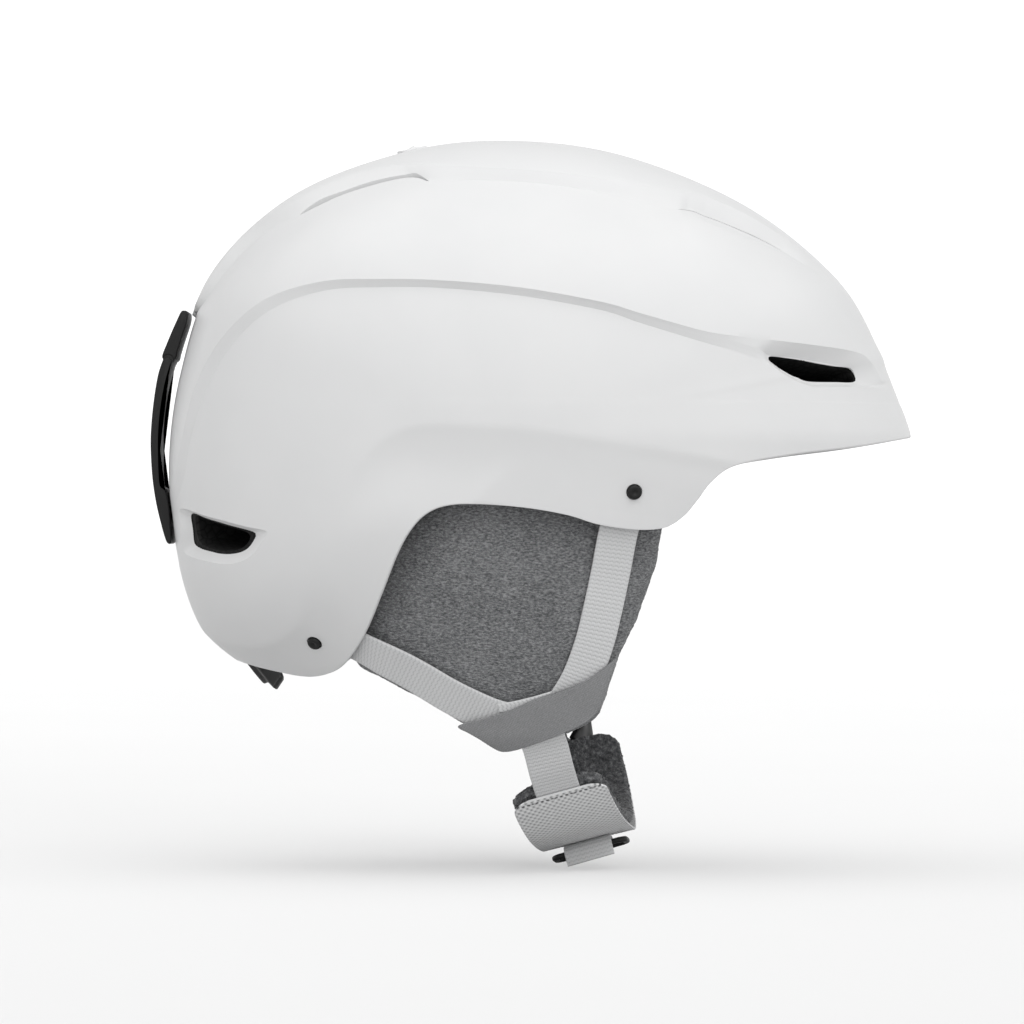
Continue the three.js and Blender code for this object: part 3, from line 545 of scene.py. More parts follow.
REAR_RECESS = [
    (-123.8, -28.4), (-113, -31.1), (-104.6, -33.2), (-97, -35.1), (-88.6, -37), (-90.6, -40.6), (-93.6, -45),
    (-98.5, -48.2), (-105, -49.4), (-112.5, -48.4), (-118.6, -47), (-122.8, -44.4), (-123.4, -36),
]
REAR_HOLE = [
    (-120, -31.5), (-115.1, -32.9), (-107.5, -35.1), (-99.8, -37.2), (-97.6, -38.6), (-97.5, -40.4),
    (-99.5, -43), (-102.5, -44.5), (-107.5, -45), (-113.6, -44), (-118, -41.9), (-119.6, -38),
]
FRONT_HOLE = [
    (101.6, 29.6), (104, 30), (112, 29.4), (120.4, 28.3), (129, 27.1), (135, 26), (137.6, 23.8),
    (137.4, 20.9), (129, 20.5), (118, 20.4), (113.4, 21.6), (107.6, 24.7), (102.2, 27.8),
]
REAR_TOP = [
    (-77.5, 88), (-69, 91.9), (-61, 95.3), (-50, 98.6), (-40, 100.9), (-33, 101.3), (-27.6, 99.4),
    (-29.6, 101), (-35, 102.4), (-49, 99.9), (-60.4, 96.4), (-69.6, 92.9),
]
FRONT_TOP = [
    (66.8, 88.6), (72, 88.9), (80, 87.4), (87.4, 85), (95, 81.6), (103, 77.2), (108, 74.3), (103.3, 77.4),
    (95.3, 81.9), (87.2, 85.4), (79.6, 87.9), (71.6, 89.3),
]


def side_cutter(outer_line, inner_line, sink, through, count=72, lead=0.9):
    """A cutter with slanted walls: the outer line on the shell, the inner line sunk under it, and straight in.
    lead carries the slant on outwards, clear of the shell's bulge."""
    a, b = even(outer_line, count, True), even(inner_line, count, True)
    shift = min(range(count), key=lambda k: np.abs(np.roll(b, k, axis=0) - a).sum())
    b = np.roll(b, shift, axis=0)
    pa, pb = SHELL.at(a), SHELL.at(b)
    nb = SHELL.normal(pb)
    nb *= np.sign((nb * pb).sum(1))[:, None]
    mean = nb.mean(0) / np.linalg.norm(nb.mean(0))
    floor = pb - nb * sink
    slope = floor - pa
    rings = [pa - slope * lead, pa, floor, floor - mean * through]
    return tube("cutter", rings)


def shell_normal_at(xz):
    """The shell's surface point over a side-view point, and its normal."""
    p = SHELL.at(np.array([xz], float))
    return p[0], SHELL.normal(p)[0]


def make_shell():
    """The whole shell: its two halves, less the vents, the rivet holes, the dial and the slots."""
    body = half_body("shell", shell_grid())
    front = np.array(FRONT_HOLE)
    cutters = with_mirror(side_cutter(REAR_RECESS, REAR_HOLE, 3.6, 14, lead=1.7))
    cutters += with_mirror(side_cutter(front, front + (front.mean(0) - front) * 0.03, 3.5, 9))
    for line in (REAR_TOP, FRONT_TOP):
        cutters += with_mirror(tube("cutter", vertical_rings(np.array(line), 8, -16)))
    for xz in RIVETS.values():
        p, n = shell_normal_at(xz)
        cutters += with_mirror(rod(p + n * 5, p - n * 9, 3.05, 48))
    cutters += [rod((-140, 0, -101), (-60, 0, -101), 20, 96), box((-47, -3.2, 90), (-14, 3.2, 130)),
                box((-130, -4.4, 35.1), (-110, 4.4, 42.9))]
    return smooth_shade(cut(body, joined(cutters)), 21)


def vertical_rings(line, up, down):
    """Rings of a crown cutter, straight up and down through a side-view outline."""
    p = SHELL.at(even(line, 60, True))
    return [p + [0, 0, up], p + [0, 0, down]]


def box(low, high):
    """A straight box between two corners."""
    (x0, y0, z0), (x1, y1, z1) = low, high
    ring = [(x0, y0), (x1, y0), (x1, y1), (x0, y1)]
    return tube("box", [[(x, y, z) for x, y in ring] for z in (z0, z1)])


# ---------- materials ----------
class Finish:
    """A node material on the Principled shader. Fixed values sit on the shader's own sockets."""

    def __init__(self, name, rough, **fixed):
        self.material = bpy.data.materials.new(name)
        self.material.use_nodes = True
        self.tree = self.material.node_tree
        self.shader = self.tree.nodes["Principled BSDF"]
        self.shader.inputs["Roughness"].default_value = rough
        for key, value in fixed.items():
            self.shader.inputs[key.replace("_", " ")].default_value = value
        self.where = self.tree.nodes.new("ShaderNodeTexCoord")
        self.bumps = None

    def node(self, kind, inputs=(), **settings):
        made = self.tree.nodes.new("ShaderNode" + kind)
        for key, value in settings.items():
            setattr(made, key, value)
        for key, value in dict(inputs).items():
            if isinstance(value, bpy.types.NodeSocket):
                self.tree.links.new(value, made.inputs[key])
            else:
                made.inputs[key].default_value = value
        return made

    def math(self, operation, a, b=0.0):
        return self.node("Math", {0: a, 1: b}, operation=operation).outputs[0]

    def weighted(self, a, share, b, other):
        return self.math("ADD", self.math("MULTIPLY", a, share), self.math("MULTIPLY", b, other))

    def stretched(self, scale=(1, 1, 1), turn=(0, 0, 0), space="Object"):
        inputs = {"Vector": self.where.outputs[space], "Scale": scale, "Rotation": turn}
        return self.node("Mapping", inputs).outputs[0]

    def noise(self, size_mm, detail=2.0, scale=(1, 1, 1), rough=0.5):
        inputs = {"Vector": self.stretched(scale), "Scale": 1000 / size_mm, "Detail": detail}
        return self.node("TexNoise", inputs | {"Roughness": rough}).outputs["Fac"]

    def cells(self, size_mm, feature="F1", scale=(1, 1, 1)):
        inputs = {"Vector": self.stretched(scale), "Scale": 1000 / size_mm}
        return self.node("TexVoronoi", inputs, feature=feature).outputs["Distance"]

    def strap_place(self):
        """Millimetres along and across a strap, from its UV map."""
        split = self.node("SeparateXYZ", {0: self.where.outputs["UV"]})
        return self.math("MULTIPLY", split.outputs[0], 50.0), self.math("MULTIPLY", split.outputs[1], 50.0)

    def wave(self, place, pitch):
        return self.math("ABSOLUTE", self.math("SINE", self.math("MULTIPLY", place, math.pi / pitch)))

    def ramp(self, value, stops):
        made = self.node("ValToRGB", {0: value})
        band = made.color_ramp
        while len(band.elements) < len(stops):
            band.elements.new(0.5)
        for element, (at, shade) in zip(band.elements, stops):
            element.position = at
            element.color = (*((shade,) * 3 if isinstance(shade, float) else shade), 1)
        return made.outputs[0]

    def color(self, socket):
        self.tree.links.new(socket, self.shader.inputs["Base Color"])
        return self

    def rough(self, value, low, high):
        made = self.node("MapRange", {"Value": value, "To Min": low, "To Max": high})
        self.tree.links.new(made.outputs[0], self.shader.inputs["Roughness"])
        return self

    def bump(self, height, strength, depth_mm):
        inputs = {"Height": height, "Strength": strength, "Distance": depth_mm * 0.001}
        if self.bumps is not None:
            inputs["Normal"] = self.bumps
        self.bumps = self.node("Bump", inputs).outputs[0]
        self.tree.links.new(self.bumps, self.shader.inputs["Normal"])
        return self


def shell_finish():
    """Matt white moulded skin with the faint tooth of its soft-feel paint."""
    f = Finish("white_shell", 0.46, Specular_IOR_Level=0.42)
    cloud, grain = f.noise(38, 3), f.noise(0.55, 2)
    f.color(f.ramp(cloud, [(0.3, (0.592, 0.595, 0.598)), (0.7, (0.61, 0.612, 0.614))]))
    f.rough(grain, 0.4, 0.52)
    return f.bump(grain, 0.10, 0.10).bump(f.noise(2.4, 2), 0.03, 0.3).material


def foam_finish():
    """Black moulded bead foam, darker towards each bead's edge down in the grooves between the beads, which is
    painted shade.
    """
    f = Finish("bead_foam", 0.8, Specular_IOR_Level=0.15)
    bead, edge = f.cells(3.1), f.cells(3.1, "DISTANCE_TO_EDGE")
    # painted shade: the colour darkens towards each bead's edge, where the bump dips into the grooves between
    # beads
    f.color(f.ramp(edge, [(0.0, 0.004), (0.12, 0.012), (0.5, 0.016)]))
    f.rough(f.noise(6, 2), 0.68, 0.9)
    return f.bump(f.math("MULTIPLY", bead, -1.0), 0.5, 0.5).bump(f.noise(0.6, 2), 0.2, 0.15).material


def ear_fleece_finish():
    """Grey brushed fleece pressed into small pebbles, with lighter and darker fibres mixed in; its colour also
    darkens in the pebbles' hollows, which is painted shade.
    """
    f = Finish("ear_fleece", 0.96, Specular_IOR_Level=0.15, Sheen_Weight=0.22, Sheen_Roughness=0.5)
    pebble = f.noise(0.8, 1.5, (0.6, 0.6, 1.35), 0.6)
    fibre, patch = f.noise(0.3, 3), f.noise(16, 2)
    # partly painted shade: the colour follows the pebble bump, darker in its hollows; the fibre and patch noise
    # are the fleece's own tone
    mix = f.weighted(pebble, 0.62, fibre, 0.38)
    both = f.math("ADD", mix, f.math("MULTIPLY", f.math("SUBTRACT", patch, 0.5), 0.12))
    f.color(f.ramp(both, [(0.36, (0.07, 0.072, 0.075)), (0.5, (0.15, 0.153, 0.157)),
                          (0.64, (0.265, 0.268, 0.272))]))
    return f.bump(pebble, 1.0, 0.9).bump(fibre, 0.5, 0.25).material


def fleece_finish():
    """Darker long-pile fleece; within it the colour darkens in the pile's hollows, which is painted shade, mixed
    with the fibres' own tone.
    """
    f = Finish("pile_fleece", 0.98, Specular_IOR_Level=0.12, Sheen_Weight=0.3, Sheen_Roughness=0.5)
    pile, fibre = f.noise(1.7, 3, rough=0.62), f.noise(0.42, 3, (1, 1, 0.6))
    # partly painted shade: the colour follows the pile bump, darker in its hollows; the fine fibre noise is real
    # tone
    mix = f.weighted(pile, 0.65, fibre, 0.35)
    f.color(f.ramp(mix, [(0.36, (0.03, 0.031, 0.033)), (0.52, (0.1, 0.102, 0.106)),
                         (0.66, (0.24, 0.243, 0.248))]))
    return f.bump(pile, 0.9, 1.0).bump(fibre, 0.6, 0.35).material


def knit_finish():
    """Grey elastic band: fine ribs along its length with a heathered yarn; the colour also darkens down between
    the ribs and stitches, which is painted shade.
    """
    f = Finish("elastic_knit", 0.92, Specular_IOR_Level=0.2, Sheen_Weight=0.12)
    place = f.stretched(turn=(0, math.radians(-26), 0))
    split = f.node("SeparateXYZ", {0: place})
    rib = f.wave(f.math("MULTIPLY", split.outputs[2], 1000.0), 0.62)
    stitch = f.wave(f.math("MULTIPLY", split.outputs[0], 1000.0), 0.9)
    knitted = f.math("MULTIPLY", f.math("ADD", rib, f.math("MULTIPLY", stitch, 0.45)), 0.69)
    heather = f.noise(0.5, 3)
    # partly painted shade: 30% of the colour follows the rib relief, darker in its troughs; the heather is the
    # yarn's own tone
    mix = f.weighted(knitted, 0.3, heather, 0.7)
    f.color(f.ramp(mix, [(0.25, (0.15, 0.152, 0.156)), (0.5, (0.2, 0.202, 0.206)),
                         (0.75, (0.265, 0.267, 0.27))]))
    return f.bump(knitted, 0.45, 0.16).bump(heather, 0.3, 0.12).material


def webbing_finish():
    """Light grey ribbed webbing, with painted shade darkening its colour down in the grooves and between the
    warp threads.
    """
    f = Finish("webbing", 0.72, Specular_IOR_Level=0.3, Sheen_Weight=0.1)
    along, across = f.strap_place()
    wavy = f.math("ADD", along, f.math("MULTIPLY", f.math("SINE", f.math("MULTIPLY", across, math.pi)), 0.24))
    rib, thread = f.wave(wavy, RIB), f.wave(across, 0.72)
    fibre = f.noise(0.35, 2)
    woven = f.weighted(rib, 0.7, thread, 0.3)
    # painted shade: the colour follows the woven relief, darker in its grooves and between the threads; the
    # fibre noise is real tone
    mix = f.weighted(woven, 0.8, fibre, 0.2)
    f.color(f.ramp(mix, [(0.12, (0.3, 0.303, 0.308)), (0.36, (0.47, 0.473, 0.477)),
                         (0.8, (0.54, 0.543, 0.547))]))
    return f.bump(woven, 0.35, 0.12).bump(fibre, 0.25, 0.06).material


def woven_finish():
    """Light grey basket-woven nylon on the chin pad, with painted shade where the yarns dip under and in a row
    of dark stitch holes.
    """
    f = Finish("woven_nylon", 0.7, Specular_IOR_Level=0.35, Sheen_Weight=0.1)
    along, across = f.strap_place()
    warp = f.math("SINE", f.math("MULTIPLY", along, math.pi / WEAVE[0]))
    weft = f.math("SINE", f.math("MULTIPLY", across, math.pi / WEAVE[1]))
    cell = f.math("MULTIPLY_ADD", f.math("MULTIPLY", warp, weft), 0.5)
    cell.node.inputs[2].default_value = 0.5
    fibre = f.noise(0.3, 2)
    # partly painted shade: the colour follows the weave's relief, darker where a yarn dips under; the fibre
    # noise is real tone
    mix = f.weighted(cell, 0.8, fibre, 0.2)
    # painted shade: a row of stitch holes across the seam, dipped in the bump and painted near-black
    from_seam = f.math("ABSOLUTE", f.math("SUBTRACT", along, 1.6))
    seam = f.math("SUBTRACT", 1.0, f.math("MULTIPLY", from_seam, 1.7))
    hole = f.math("MULTIPLY", f.math("MAXIMUM", seam, 0.0), f.math("POWER", f.wave(across, 1.9), 2.0))
    stitched = f.math("SUBTRACT", mix, f.math("MULTIPLY", hole, 0.9))
    f.color(f.ramp(stitched, [(0.0, (0.06, 0.061, 0.063)), (0.2, (0.38, 0.382, 0.386)),
                              (0.5, (0.6, 0.603, 0.607)), (0.8, (0.72, 0.723, 0.727))]))
    return f.bump(stitched, 0.5, 0.2).material


def plastic_finish(name, shade, rough):
    """Moulded nylon with a fine spark-eroded grain."""
    f = Finish(name, rough, Specular_IOR_Level=0.28)
    grain, cloud = f.noise(0.45, 2), f.noise(14, 2)
    f.color(f.ramp(cloud, [(0.3, shade * 0.88), (0.7, shade * 1.14)]))
    f.rough(grain, rough - 0.07, rough + 0.09)
    return f.bump(grain, 0.16, 0.08).material


def steel_finish():
    """Brushed steel."""
    f = Finish("pinion_steel", 0.32, Metallic=1.0)
    f.color(f.ramp(f.noise(5, 3), [(0.3, (0.46, 0.465, 0.47)), (0.7, (0.56, 0.562, 0.565))]))
    return f.rough(f.noise(0.8, 3, (1, 1, 5)), 0.24, 0.42).material


FINISH = {
    "shell": shell_finish(), "foam": foam_finish(), "fleece": fleece_finish(),
    "ear_fleece": ear_fleece_finish(), "knit": knit_finish(), "webbing": webbing_finish(),
    "woven_nylon": woven_finish(),
    "black_plastic": plastic_finish("black_plastic", 0.007, 0.46),
    "grey_plastic": plastic_finish("grey_plastic", 0.045, 0.5), "steel": steel_finish(),
}


def floor_finish():
    """Pale napped studio paper."""
    f = Finish("studio_floor", 0.9, Specular_IOR_Level=0.2, Sheen_Weight=0.9, Sheen_Roughness=FLOOR_NAP)
    f.color(f.ramp(f.noise(400, 2), [(0.2, FLOOR_PALE - 0.01), (0.8, FLOOR_PALE + 0.01)]))
    return f.material


def paint(obj, m):
    obj.data.materials.clear()
    obj.data.materials.append(m)


for sub in frame["record"]["subparts"]:
    paint(frame["nodes"][sub["node"]], FINISH[sub["material_slot"]])


# ---------- pieces ----------
def put(obj, name, body, slot, *replaced):
    """Names a finished piece, paints it, hangs it on its body and hides the CAD nodes it stands for."""
    obj.name = obj.data.name = name
    if replaced:
        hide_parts(*replaced)
    paint(obj, FINISH[slot])
    if body:
        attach(obj, body)
    return obj


def both_sides(make, name, body, slot, *nodes, fill=None):
    """A piece made on the wearer's left, and its mirror image on the right."""
    left = make()
    right = mirrored(left, name + "_right")
    put(left, name + "_left", body, slot, *[n + "_left" for n in nodes])
    put(right, name + "_right", body, slot, *[n + "_right" for n in nodes])
    return left, right


# ---------- the liner ----------
CAVITY_EGG = Egg(CAVITY, CAVITY_HALF_WIDTH)
LINER_EGG = Egg(LOW_PROFILE, HALF_WIDTH, LINER_GAP)
CAVITY_RIM = [
    (103.9, -3.6), (98, -4.4), (92, -5), (76, -9), (40, -11), (10, -11.6), (-18, -12), (-36, -22), (-54, -46),
    (-66, -61), (-84, -67), (-89, -75), (-92, -80.5), (-96.4, -81.4),
]
OUTER_RIM = [
    (156, 3.2), (145, 1.6), (133, 0), (92, -5), (76, -9), (40, -11), (10, -11.6), (-18, -12), (-36, -22),
    (-54, -46), (-66, -61), (-84, -67), (-92, -82), (-106.5, -79.8),
]


def egg_rows(egg, rim, front, rear, stations, count):
    """Rows of a half egg from a rim line in the side view up to its mid-plane."""
    low = egg.flat(even(rim, stations))
    rows, _ = rows_between([low, crown_line(front, rear, stations)], [count])
    out = on_mid_plane(egg.point(rows))
    out[-1, :, 1] = 0
    return out


def make_liner():
    """The foam liner, with its rolled edge, openings for the vents and room for the fit system."""
    outer = egg_rows(LINER_EGG, OUTER_RIM, math.radians(25), math.radians(158), 220, 60)
    inner = egg_rows(CAVITY_EGG, CAVITY_RIM, math.radians(35), math.radians(152), 220, 60)
    edge = [inner[0] + (outer[0] - inner[0]) * t + [0, 0, lift]
            for t, lift in ((0.1, 0.8), (0.35, 0.0), (0.65, 0.0), (0.9, 0.8))]
    liner = half_body("liner", np.concatenate([inner[::-1], on_mid_plane(np.array(edge)), outer]))
    cutters = [box((-140, -27, -140), (-70, 27, -62)), box((-109, -12, -60), (-80, 12, 26)),
               box((-130, -5, 34), (-112, 5, 44))]
    for y in (-41, 31):
        cutters.append(box((70, y, 62), (110, y + 10, 130)))
    for line, depth in ((FRONT_HOLE, 30), (REAR_HOLE, 24)):
        hole = np.array(line)
        wide = hole + (hole - hole.mean(0)) * 0.08
        cutters += with_mirror(side_cutter(wide, wide + (hole.mean(0) - wide) * 0.1, 4, depth, lead=1.4))
    cut(liner, joined(cutters))
    cut(liner, box((-76, -50, 60), (-28, 50, 130)))
    return smooth_shade(liner, 40)


# ---------- webbing ----------
LOW_EGG = Egg(LOW_PROFILE, HALF_WIDTH)


def shell_side(x, z):
    """How far out the shell's side lies."""
    return LOW_EGG.at(np.array([[x, z]], float))[0, 1]


def ear_face(x, z):
    """How far out the ear pad's outer face lies."""
    drop = -24 - z
    return 94 - 0.05 * drop - 0.002 * drop**2 - (x - 8) ** 2 / 260


def out_of(height, x, z):
    """The outward normal of a surface given as a height over the side view."""
    n = np.array([(height(x - 1, z) - height(x + 1, z)) / 2, 1, (height(x, z - 1) - height(x, z + 1)) / 2])
    return n / np.linalg.norm(n)


def in_shell(x, z, depth):
    """A point at a depth under the shell's side."""
    return np.array([x, shell_side(x, z), z]) - out_of(shell_side, x, z) * depth


def on_face(x, z, height=1.2):
    """A point at a height off the ear pad's outer face."""
    return np.array([x, ear_face(x, z), z]) + out_of(ear_face, x, z) * height


def course(points, start, end, spacing):
    """Evenly spaced places, tangents and running length along part of a Catmull-Rom curve."""
    ts = np.linspace(start, end, 2400)
    p = spline(points, ts)
    run = np.concatenate([[0], np.cumsum(np.linalg.norm(np.diff(p, axis=0), axis=1))])
    n = max(8, int(round(run[-1] / spacing)) + 1)
    at = np.linspace(0, run[-1], n)
    t = np.interp(at, run, ts)
    p = spline(points, t)
    d = spline(points, np.clip(t + 1e-4, 0, 1)) - spline(points, np.clip(t - 1e-4, 0, 1))
    return p, d / np.linalg.norm(d, axis=1, keepdims=True), at, t


def frames(tangent, first, last, t, width_first):
    """The strap's width and outward directions: one of them is given at both ends, and the other follows."""
    first, last = np.array(first, float), np.array(last, float)
    v = first + (last - first) * t[:, None]
    v -= (v * tangent).sum(1)[:, None] * tangent
    v /= np.linalg.norm(v, axis=1)[:, None]
    return (v, np.cross(tangent, v)) if width_first else (np.cross(v, tangent), v)


def section(width, low, high, across, corner):
    """A rounded flat section as (across, height) points."""
    r = min(corner, (high - low) / 2 - 1e-3)
    half, mid = width / 2, (low + high) / 2
    top = [(w, high) for w in np.linspace(-half + r, half - r, across)]
    arc = np.linspace(0, np.pi / 2, 4)[1:]
    right = [(half - r + r * math.sin(a), high - r + r * math.cos(a)) for a in arc]
    side = [(half, mid)]
    flip = [(w, 2 * mid - h) for w, h in right[::-1]]
    bottom = [(-w, 2 * mid - h) for w, h in top]
    left = [(-w, 2 * mid - h) for w, h in right] + [(-half, mid)] + [(-w, 2 * mid - h) for w, h in flip]
    return np.array(top + right + side + flip + bottom + left)


def shape_of(made, across):
    """Rows and columns of a ribbon's mesh, from the points across one face."""
    columns = len(section(10, -1, 1, across, 0.5))
    return (len(made.data.vertices) - 2) // columns, columns


def strip(p, s, wide, out, width, low, high, across=22, corner=0.5, relief=None, scale=None):
    """A strip through points p, with its width and outward directions. Its UV map is places along and across."""
    shape = section(width, low, high, across, corner)
    mid = (low + high) / 2
    w = np.tile(shape[:, 0], (len(p), 1))
    h = np.tile(shape[:, 1], (len(p), 1))
    if scale is not None:
        w = w * scale[:, None]
    side = np.sign(np.round(shape[:, 1] - mid, 6)) * (np.abs(shape[:, 1] - mid) > (high - low) / 2 - 1e-3)
    if relief is not None:
        h = h + relief(s[:, None], w) * side[None, :]
    rings = p[:, None] + wide[:, None] * w[..., None] + out[:, None] * h[..., None]
    uv = np.stack([np.broadcast_to(s[:, None], w.shape), w + side * 40], -1) * 0.02
    return smooth_shade(tube("ribbon", rings, uv.reshape(-1, 2)), 50)


def ribbon(points, width, low, high, first, last=None, start=0.0, end=1.0, spacing=0.24, width_first=False,
           taper=None, **options):
    """A strip along a curve. relief(s, w) is added to its two faces; taper(s) scales its width."""
    p, d, s, t = course(points, start, end, spacing)
    span = (t - start) / (end - start)
    wide, out = frames(d, first, first if last is None else last, t if width_first else span, width_first)
    scale = None if taper is None else taper(s)
    return strip(p, s, wide, out, width, low, high, scale=scale, **options)


def ribs(s, w):
    """Cross ribs of flat webbing, a little wavy, with flat selvedges."""
    edge = 1 - smooth(0.86, 0.97, np.abs(w) / np.abs(w).max())
    wave = np.abs(np.sin(np.pi * (s + 0.24 * np.sin(w * np.pi)) / RIB)) ** 0.6
    return (wave * 0.17 - 0.1) * edge


def basket(s, w):
    """A plain basket weave of thick yarn."""
    a, b = np.sin(np.pi * s / WEAVE[0]), np.sin(np.pi * w / WEAVE[1])
    over = np.sign(a * b) * (np.abs(a) * np.abs(b)) ** 0.5
    return 0.11 * over


def webbing(points, first, last):
    """A length of ribbed webbing: first and last are its outward directions at the two ends."""
    return ribbon(points, WEBBING_WIDTH, -WEBBING_HALF, WEBBING_HALF, first, last, relief=ribs)


def round_ends(length_mm):
    """Narrows a strip's last millimetres to rounded ends."""
    def taper(s):
        near = np.minimum(s, s[-1] - s)
        return 1 - (1 - np.sqrt(np.clip(1 - (1 - np.clip(near / length_mm, 0, 1)) ** 2, 0.02, 1))) * 0.42
    return taper


def riveted(strap, place):
    """Punches the hole for a rivet's shank."""
    x, z = RIVETS[place]
    return smooth_shade(cut(strap, rod(in_shell(x, z, 0), in_shell(x, z, 10), 2.95, 40)), 50)


def front_strap():
    """Webbing from the front rivet down over the ear pad."""
    path = [in_shell(51, -15.5, 4.6), in_shell(50, -22.4, 4.6), in_shell(45.6, -36, 6.6),
            on_face(40.6, -52, 1.6), on_face(37.8, -66), on_face(34.6, -79), on_face(29.8, -92),
            on_face(24, -102)]
    return riveted(webbing(path, out_of(shell_side, 50, -22.4), out_of(ear_face, 26, -98)), "front")


def rear_strap():
    """Webbing from the rear rivet down to the foot of the ear pad."""
    path = [in_shell(-79, -79, 4.6), in_shell(-71.8, -80.5, 4.6), in_shell(-62, -82, 6.3),
            on_face(-46, -83.5, 2.6), on_face(-34, -90, 1.5), on_face(-20, -98.4), on_face(-9, -104),
            on_face(-2, -106.9), on_face(6, -109), on_face(14, -110)]
    return riveted(webbing(path, out_of(shell_side, -71.8, -80.5), out_of(ear_face, 0, -106)), "rear")


def rear_strap_tip():
    """The turned-over end of the rear webbing, a light sliver along the top of the elastic band."""
    path = [on_face(-1, -103, 2.3), on_face(6, -101.7, 2.5), on_face(13, -99.9, 2.6), on_face(19, -98.1, 2.6)]
    return ribbon(path, 3.8, -0.5, 0.5, out_of(ear_face, 0, -103), out_of(ear_face, 19, -98), across=8,
                  relief=ribs)


def rivet(place):
    """Makes a domed rivet with its shank and inner flange."""
    x, z = RIVETS[place]
    def make():
        top = in_shell(x, z, 0.7)
        axis, ring = circle(top, in_shell(x, z, 8.2), 40)
        profile = [(0.25, 0.5), (0.7, 0.32), (1.0, 0.05), (1.9, 0.0), (2.35, 0.12), (2.62, 0.45), (2.7, 0.9),
                   (2.7, 6.3), (4.6, 6.35), (4.95, 6.7), (5.0, 7.1), (4.9, 7.4), (4.5, 7.5)]
        rings = [top + axis * d + ring * r for r, d in profile]
        return smooth_shade(tube("rivet", rings), 40)
    return make


# ---------- padded pieces ----------
def value_noise(points, scale, seed=0.0):
    """Smooth noise of about -1 to 1, one value for each point, at a feature size in millimetres."""
    q = np.asarray(points) / scale + seed
    return np.array([noise.noise(Vector(v)) for v in q]) * 1.7


def pillow(name, rim, centre, lift, rings=18, power=2.4, rim_share=0.12):
    """A closed pad: rim is a closed line in a flat map, and lift(a, b, h) places a map point at a height of 0
    to 1."""
    rim = np.asarray(rim, float)
    centre = np.asarray(centre, float)
    edge = 1 - rim_share
    t = np.linspace(0, np.pi, 13)[1:-1]
    reach = edge + rim_share * np.sin(t) ** (2 / power)
    height = np.sign(np.cos(t)) * np.abs(np.cos(t)) ** (2 / power)
    out = np.linspace(0.05, edge, rings)
    spread = np.concatenate([out, reach, out[::-1]])
    heights = np.concatenate([np.ones(rings), height, -np.ones(rings)])
    ringset = []
    for r, h in zip(spread, heights):
        ab = centre + (rim - centre) * r
        ringset.append(lift(ab[:, 0], ab[:, 1], (h + 1) / 2))
    return tube(name, np.array(ringset)), (len(spread), len(rim))


def puff(obj, cap, pressure=4.0, frames_run=16):
    """Lets the cover swell as cloth under air pressure, no point moving further than cap millimetres."""
    before = np.array([v.co[:] for v in obj.data.vertices])
    m = obj.modifiers.new("swell", "CLOTH")
    m.settings.quality = 4
    m.settings.mass = 0.2
    m.settings.tension_stiffness = m.settings.compression_stiffness = 18
    m.settings.shear_stiffness, m.settings.bending_stiffness = 8, 1.2
    m.settings.effector_weights.gravity = 0
    m.settings.use_pressure = True
    m.settings.uniform_pressure_force = pressure
    m.point_cache.frame_start, m.point_cache.frame_end = 1, frames_run
    for f in range(1, frames_run + 1):
        bpy.context.scene.frame_set(f)
    bpy.context.view_layer.update()
    bake(obj)
    bpy.context.scene.frame_set(1)
    after = np.array([v.co[:] for v in obj.data.vertices])
    move = after - before
    far = np.linalg.norm(move, axis=1, keepdims=True) + 1e-12
    limit = cap * 0.001
    after = before + move / far * (limit * np.tanh(far / limit))
    obj.data.vertices.foreach_set("co", after.ravel())
    obj.data.update()
    return obj


def rough_up(obj, rules):
    """Moves points along their normals by noise: rules are (amount in mm, feature size in mm)."""
    co = points_of(obj)
    normals = np.empty(len(obj.data.vertices) * 3)
    obj.data.vertices.foreach_get("normal", normals)
    normals = normals.reshape(-1, 3)
    amount = np.zeros(len(co))
    for k, (size, scale) in enumerate(rules):
        amount += size * value_noise(co, np.array(scale), 11.3 * k)
    move_to(obj, co + normals * amount[:, None])
    obj.data.shade_smooth()
    return obj


EAR_RIM = [
    (60.4, -19), (60.6, -28), (60.4, -36), (58.6, -48), (55.4, -58.5), (52, -68.5), (48, -78), (44.6, -86),
    (41.8, -94), (38.2, -103), (35.6, -107.6), (29, -111.8), (20, -115.6), (8, -118.6), (0.5, -120),
    (-5, -117.8), (-14, -111.2), (-27, -103.2), (-38, -97), (-46, -92.4), (-53.5, -88.2), (-55, -82),
    (-52, -62), (-45, -40), (-33, -25), (-18, -16), (12, -14), (40, -14.5),
]
EAR_SEAMS = [
    [(-44, -49.5), (-28, -52.6), (-4, -56.4), (9, -58.8), (21, -62), (32, -66.2)],
    [(-45, -54.6), (-28, -54.9), (-12, -58), (4.4, -60.6), (17, -63.8), (30, -66.8)],
]


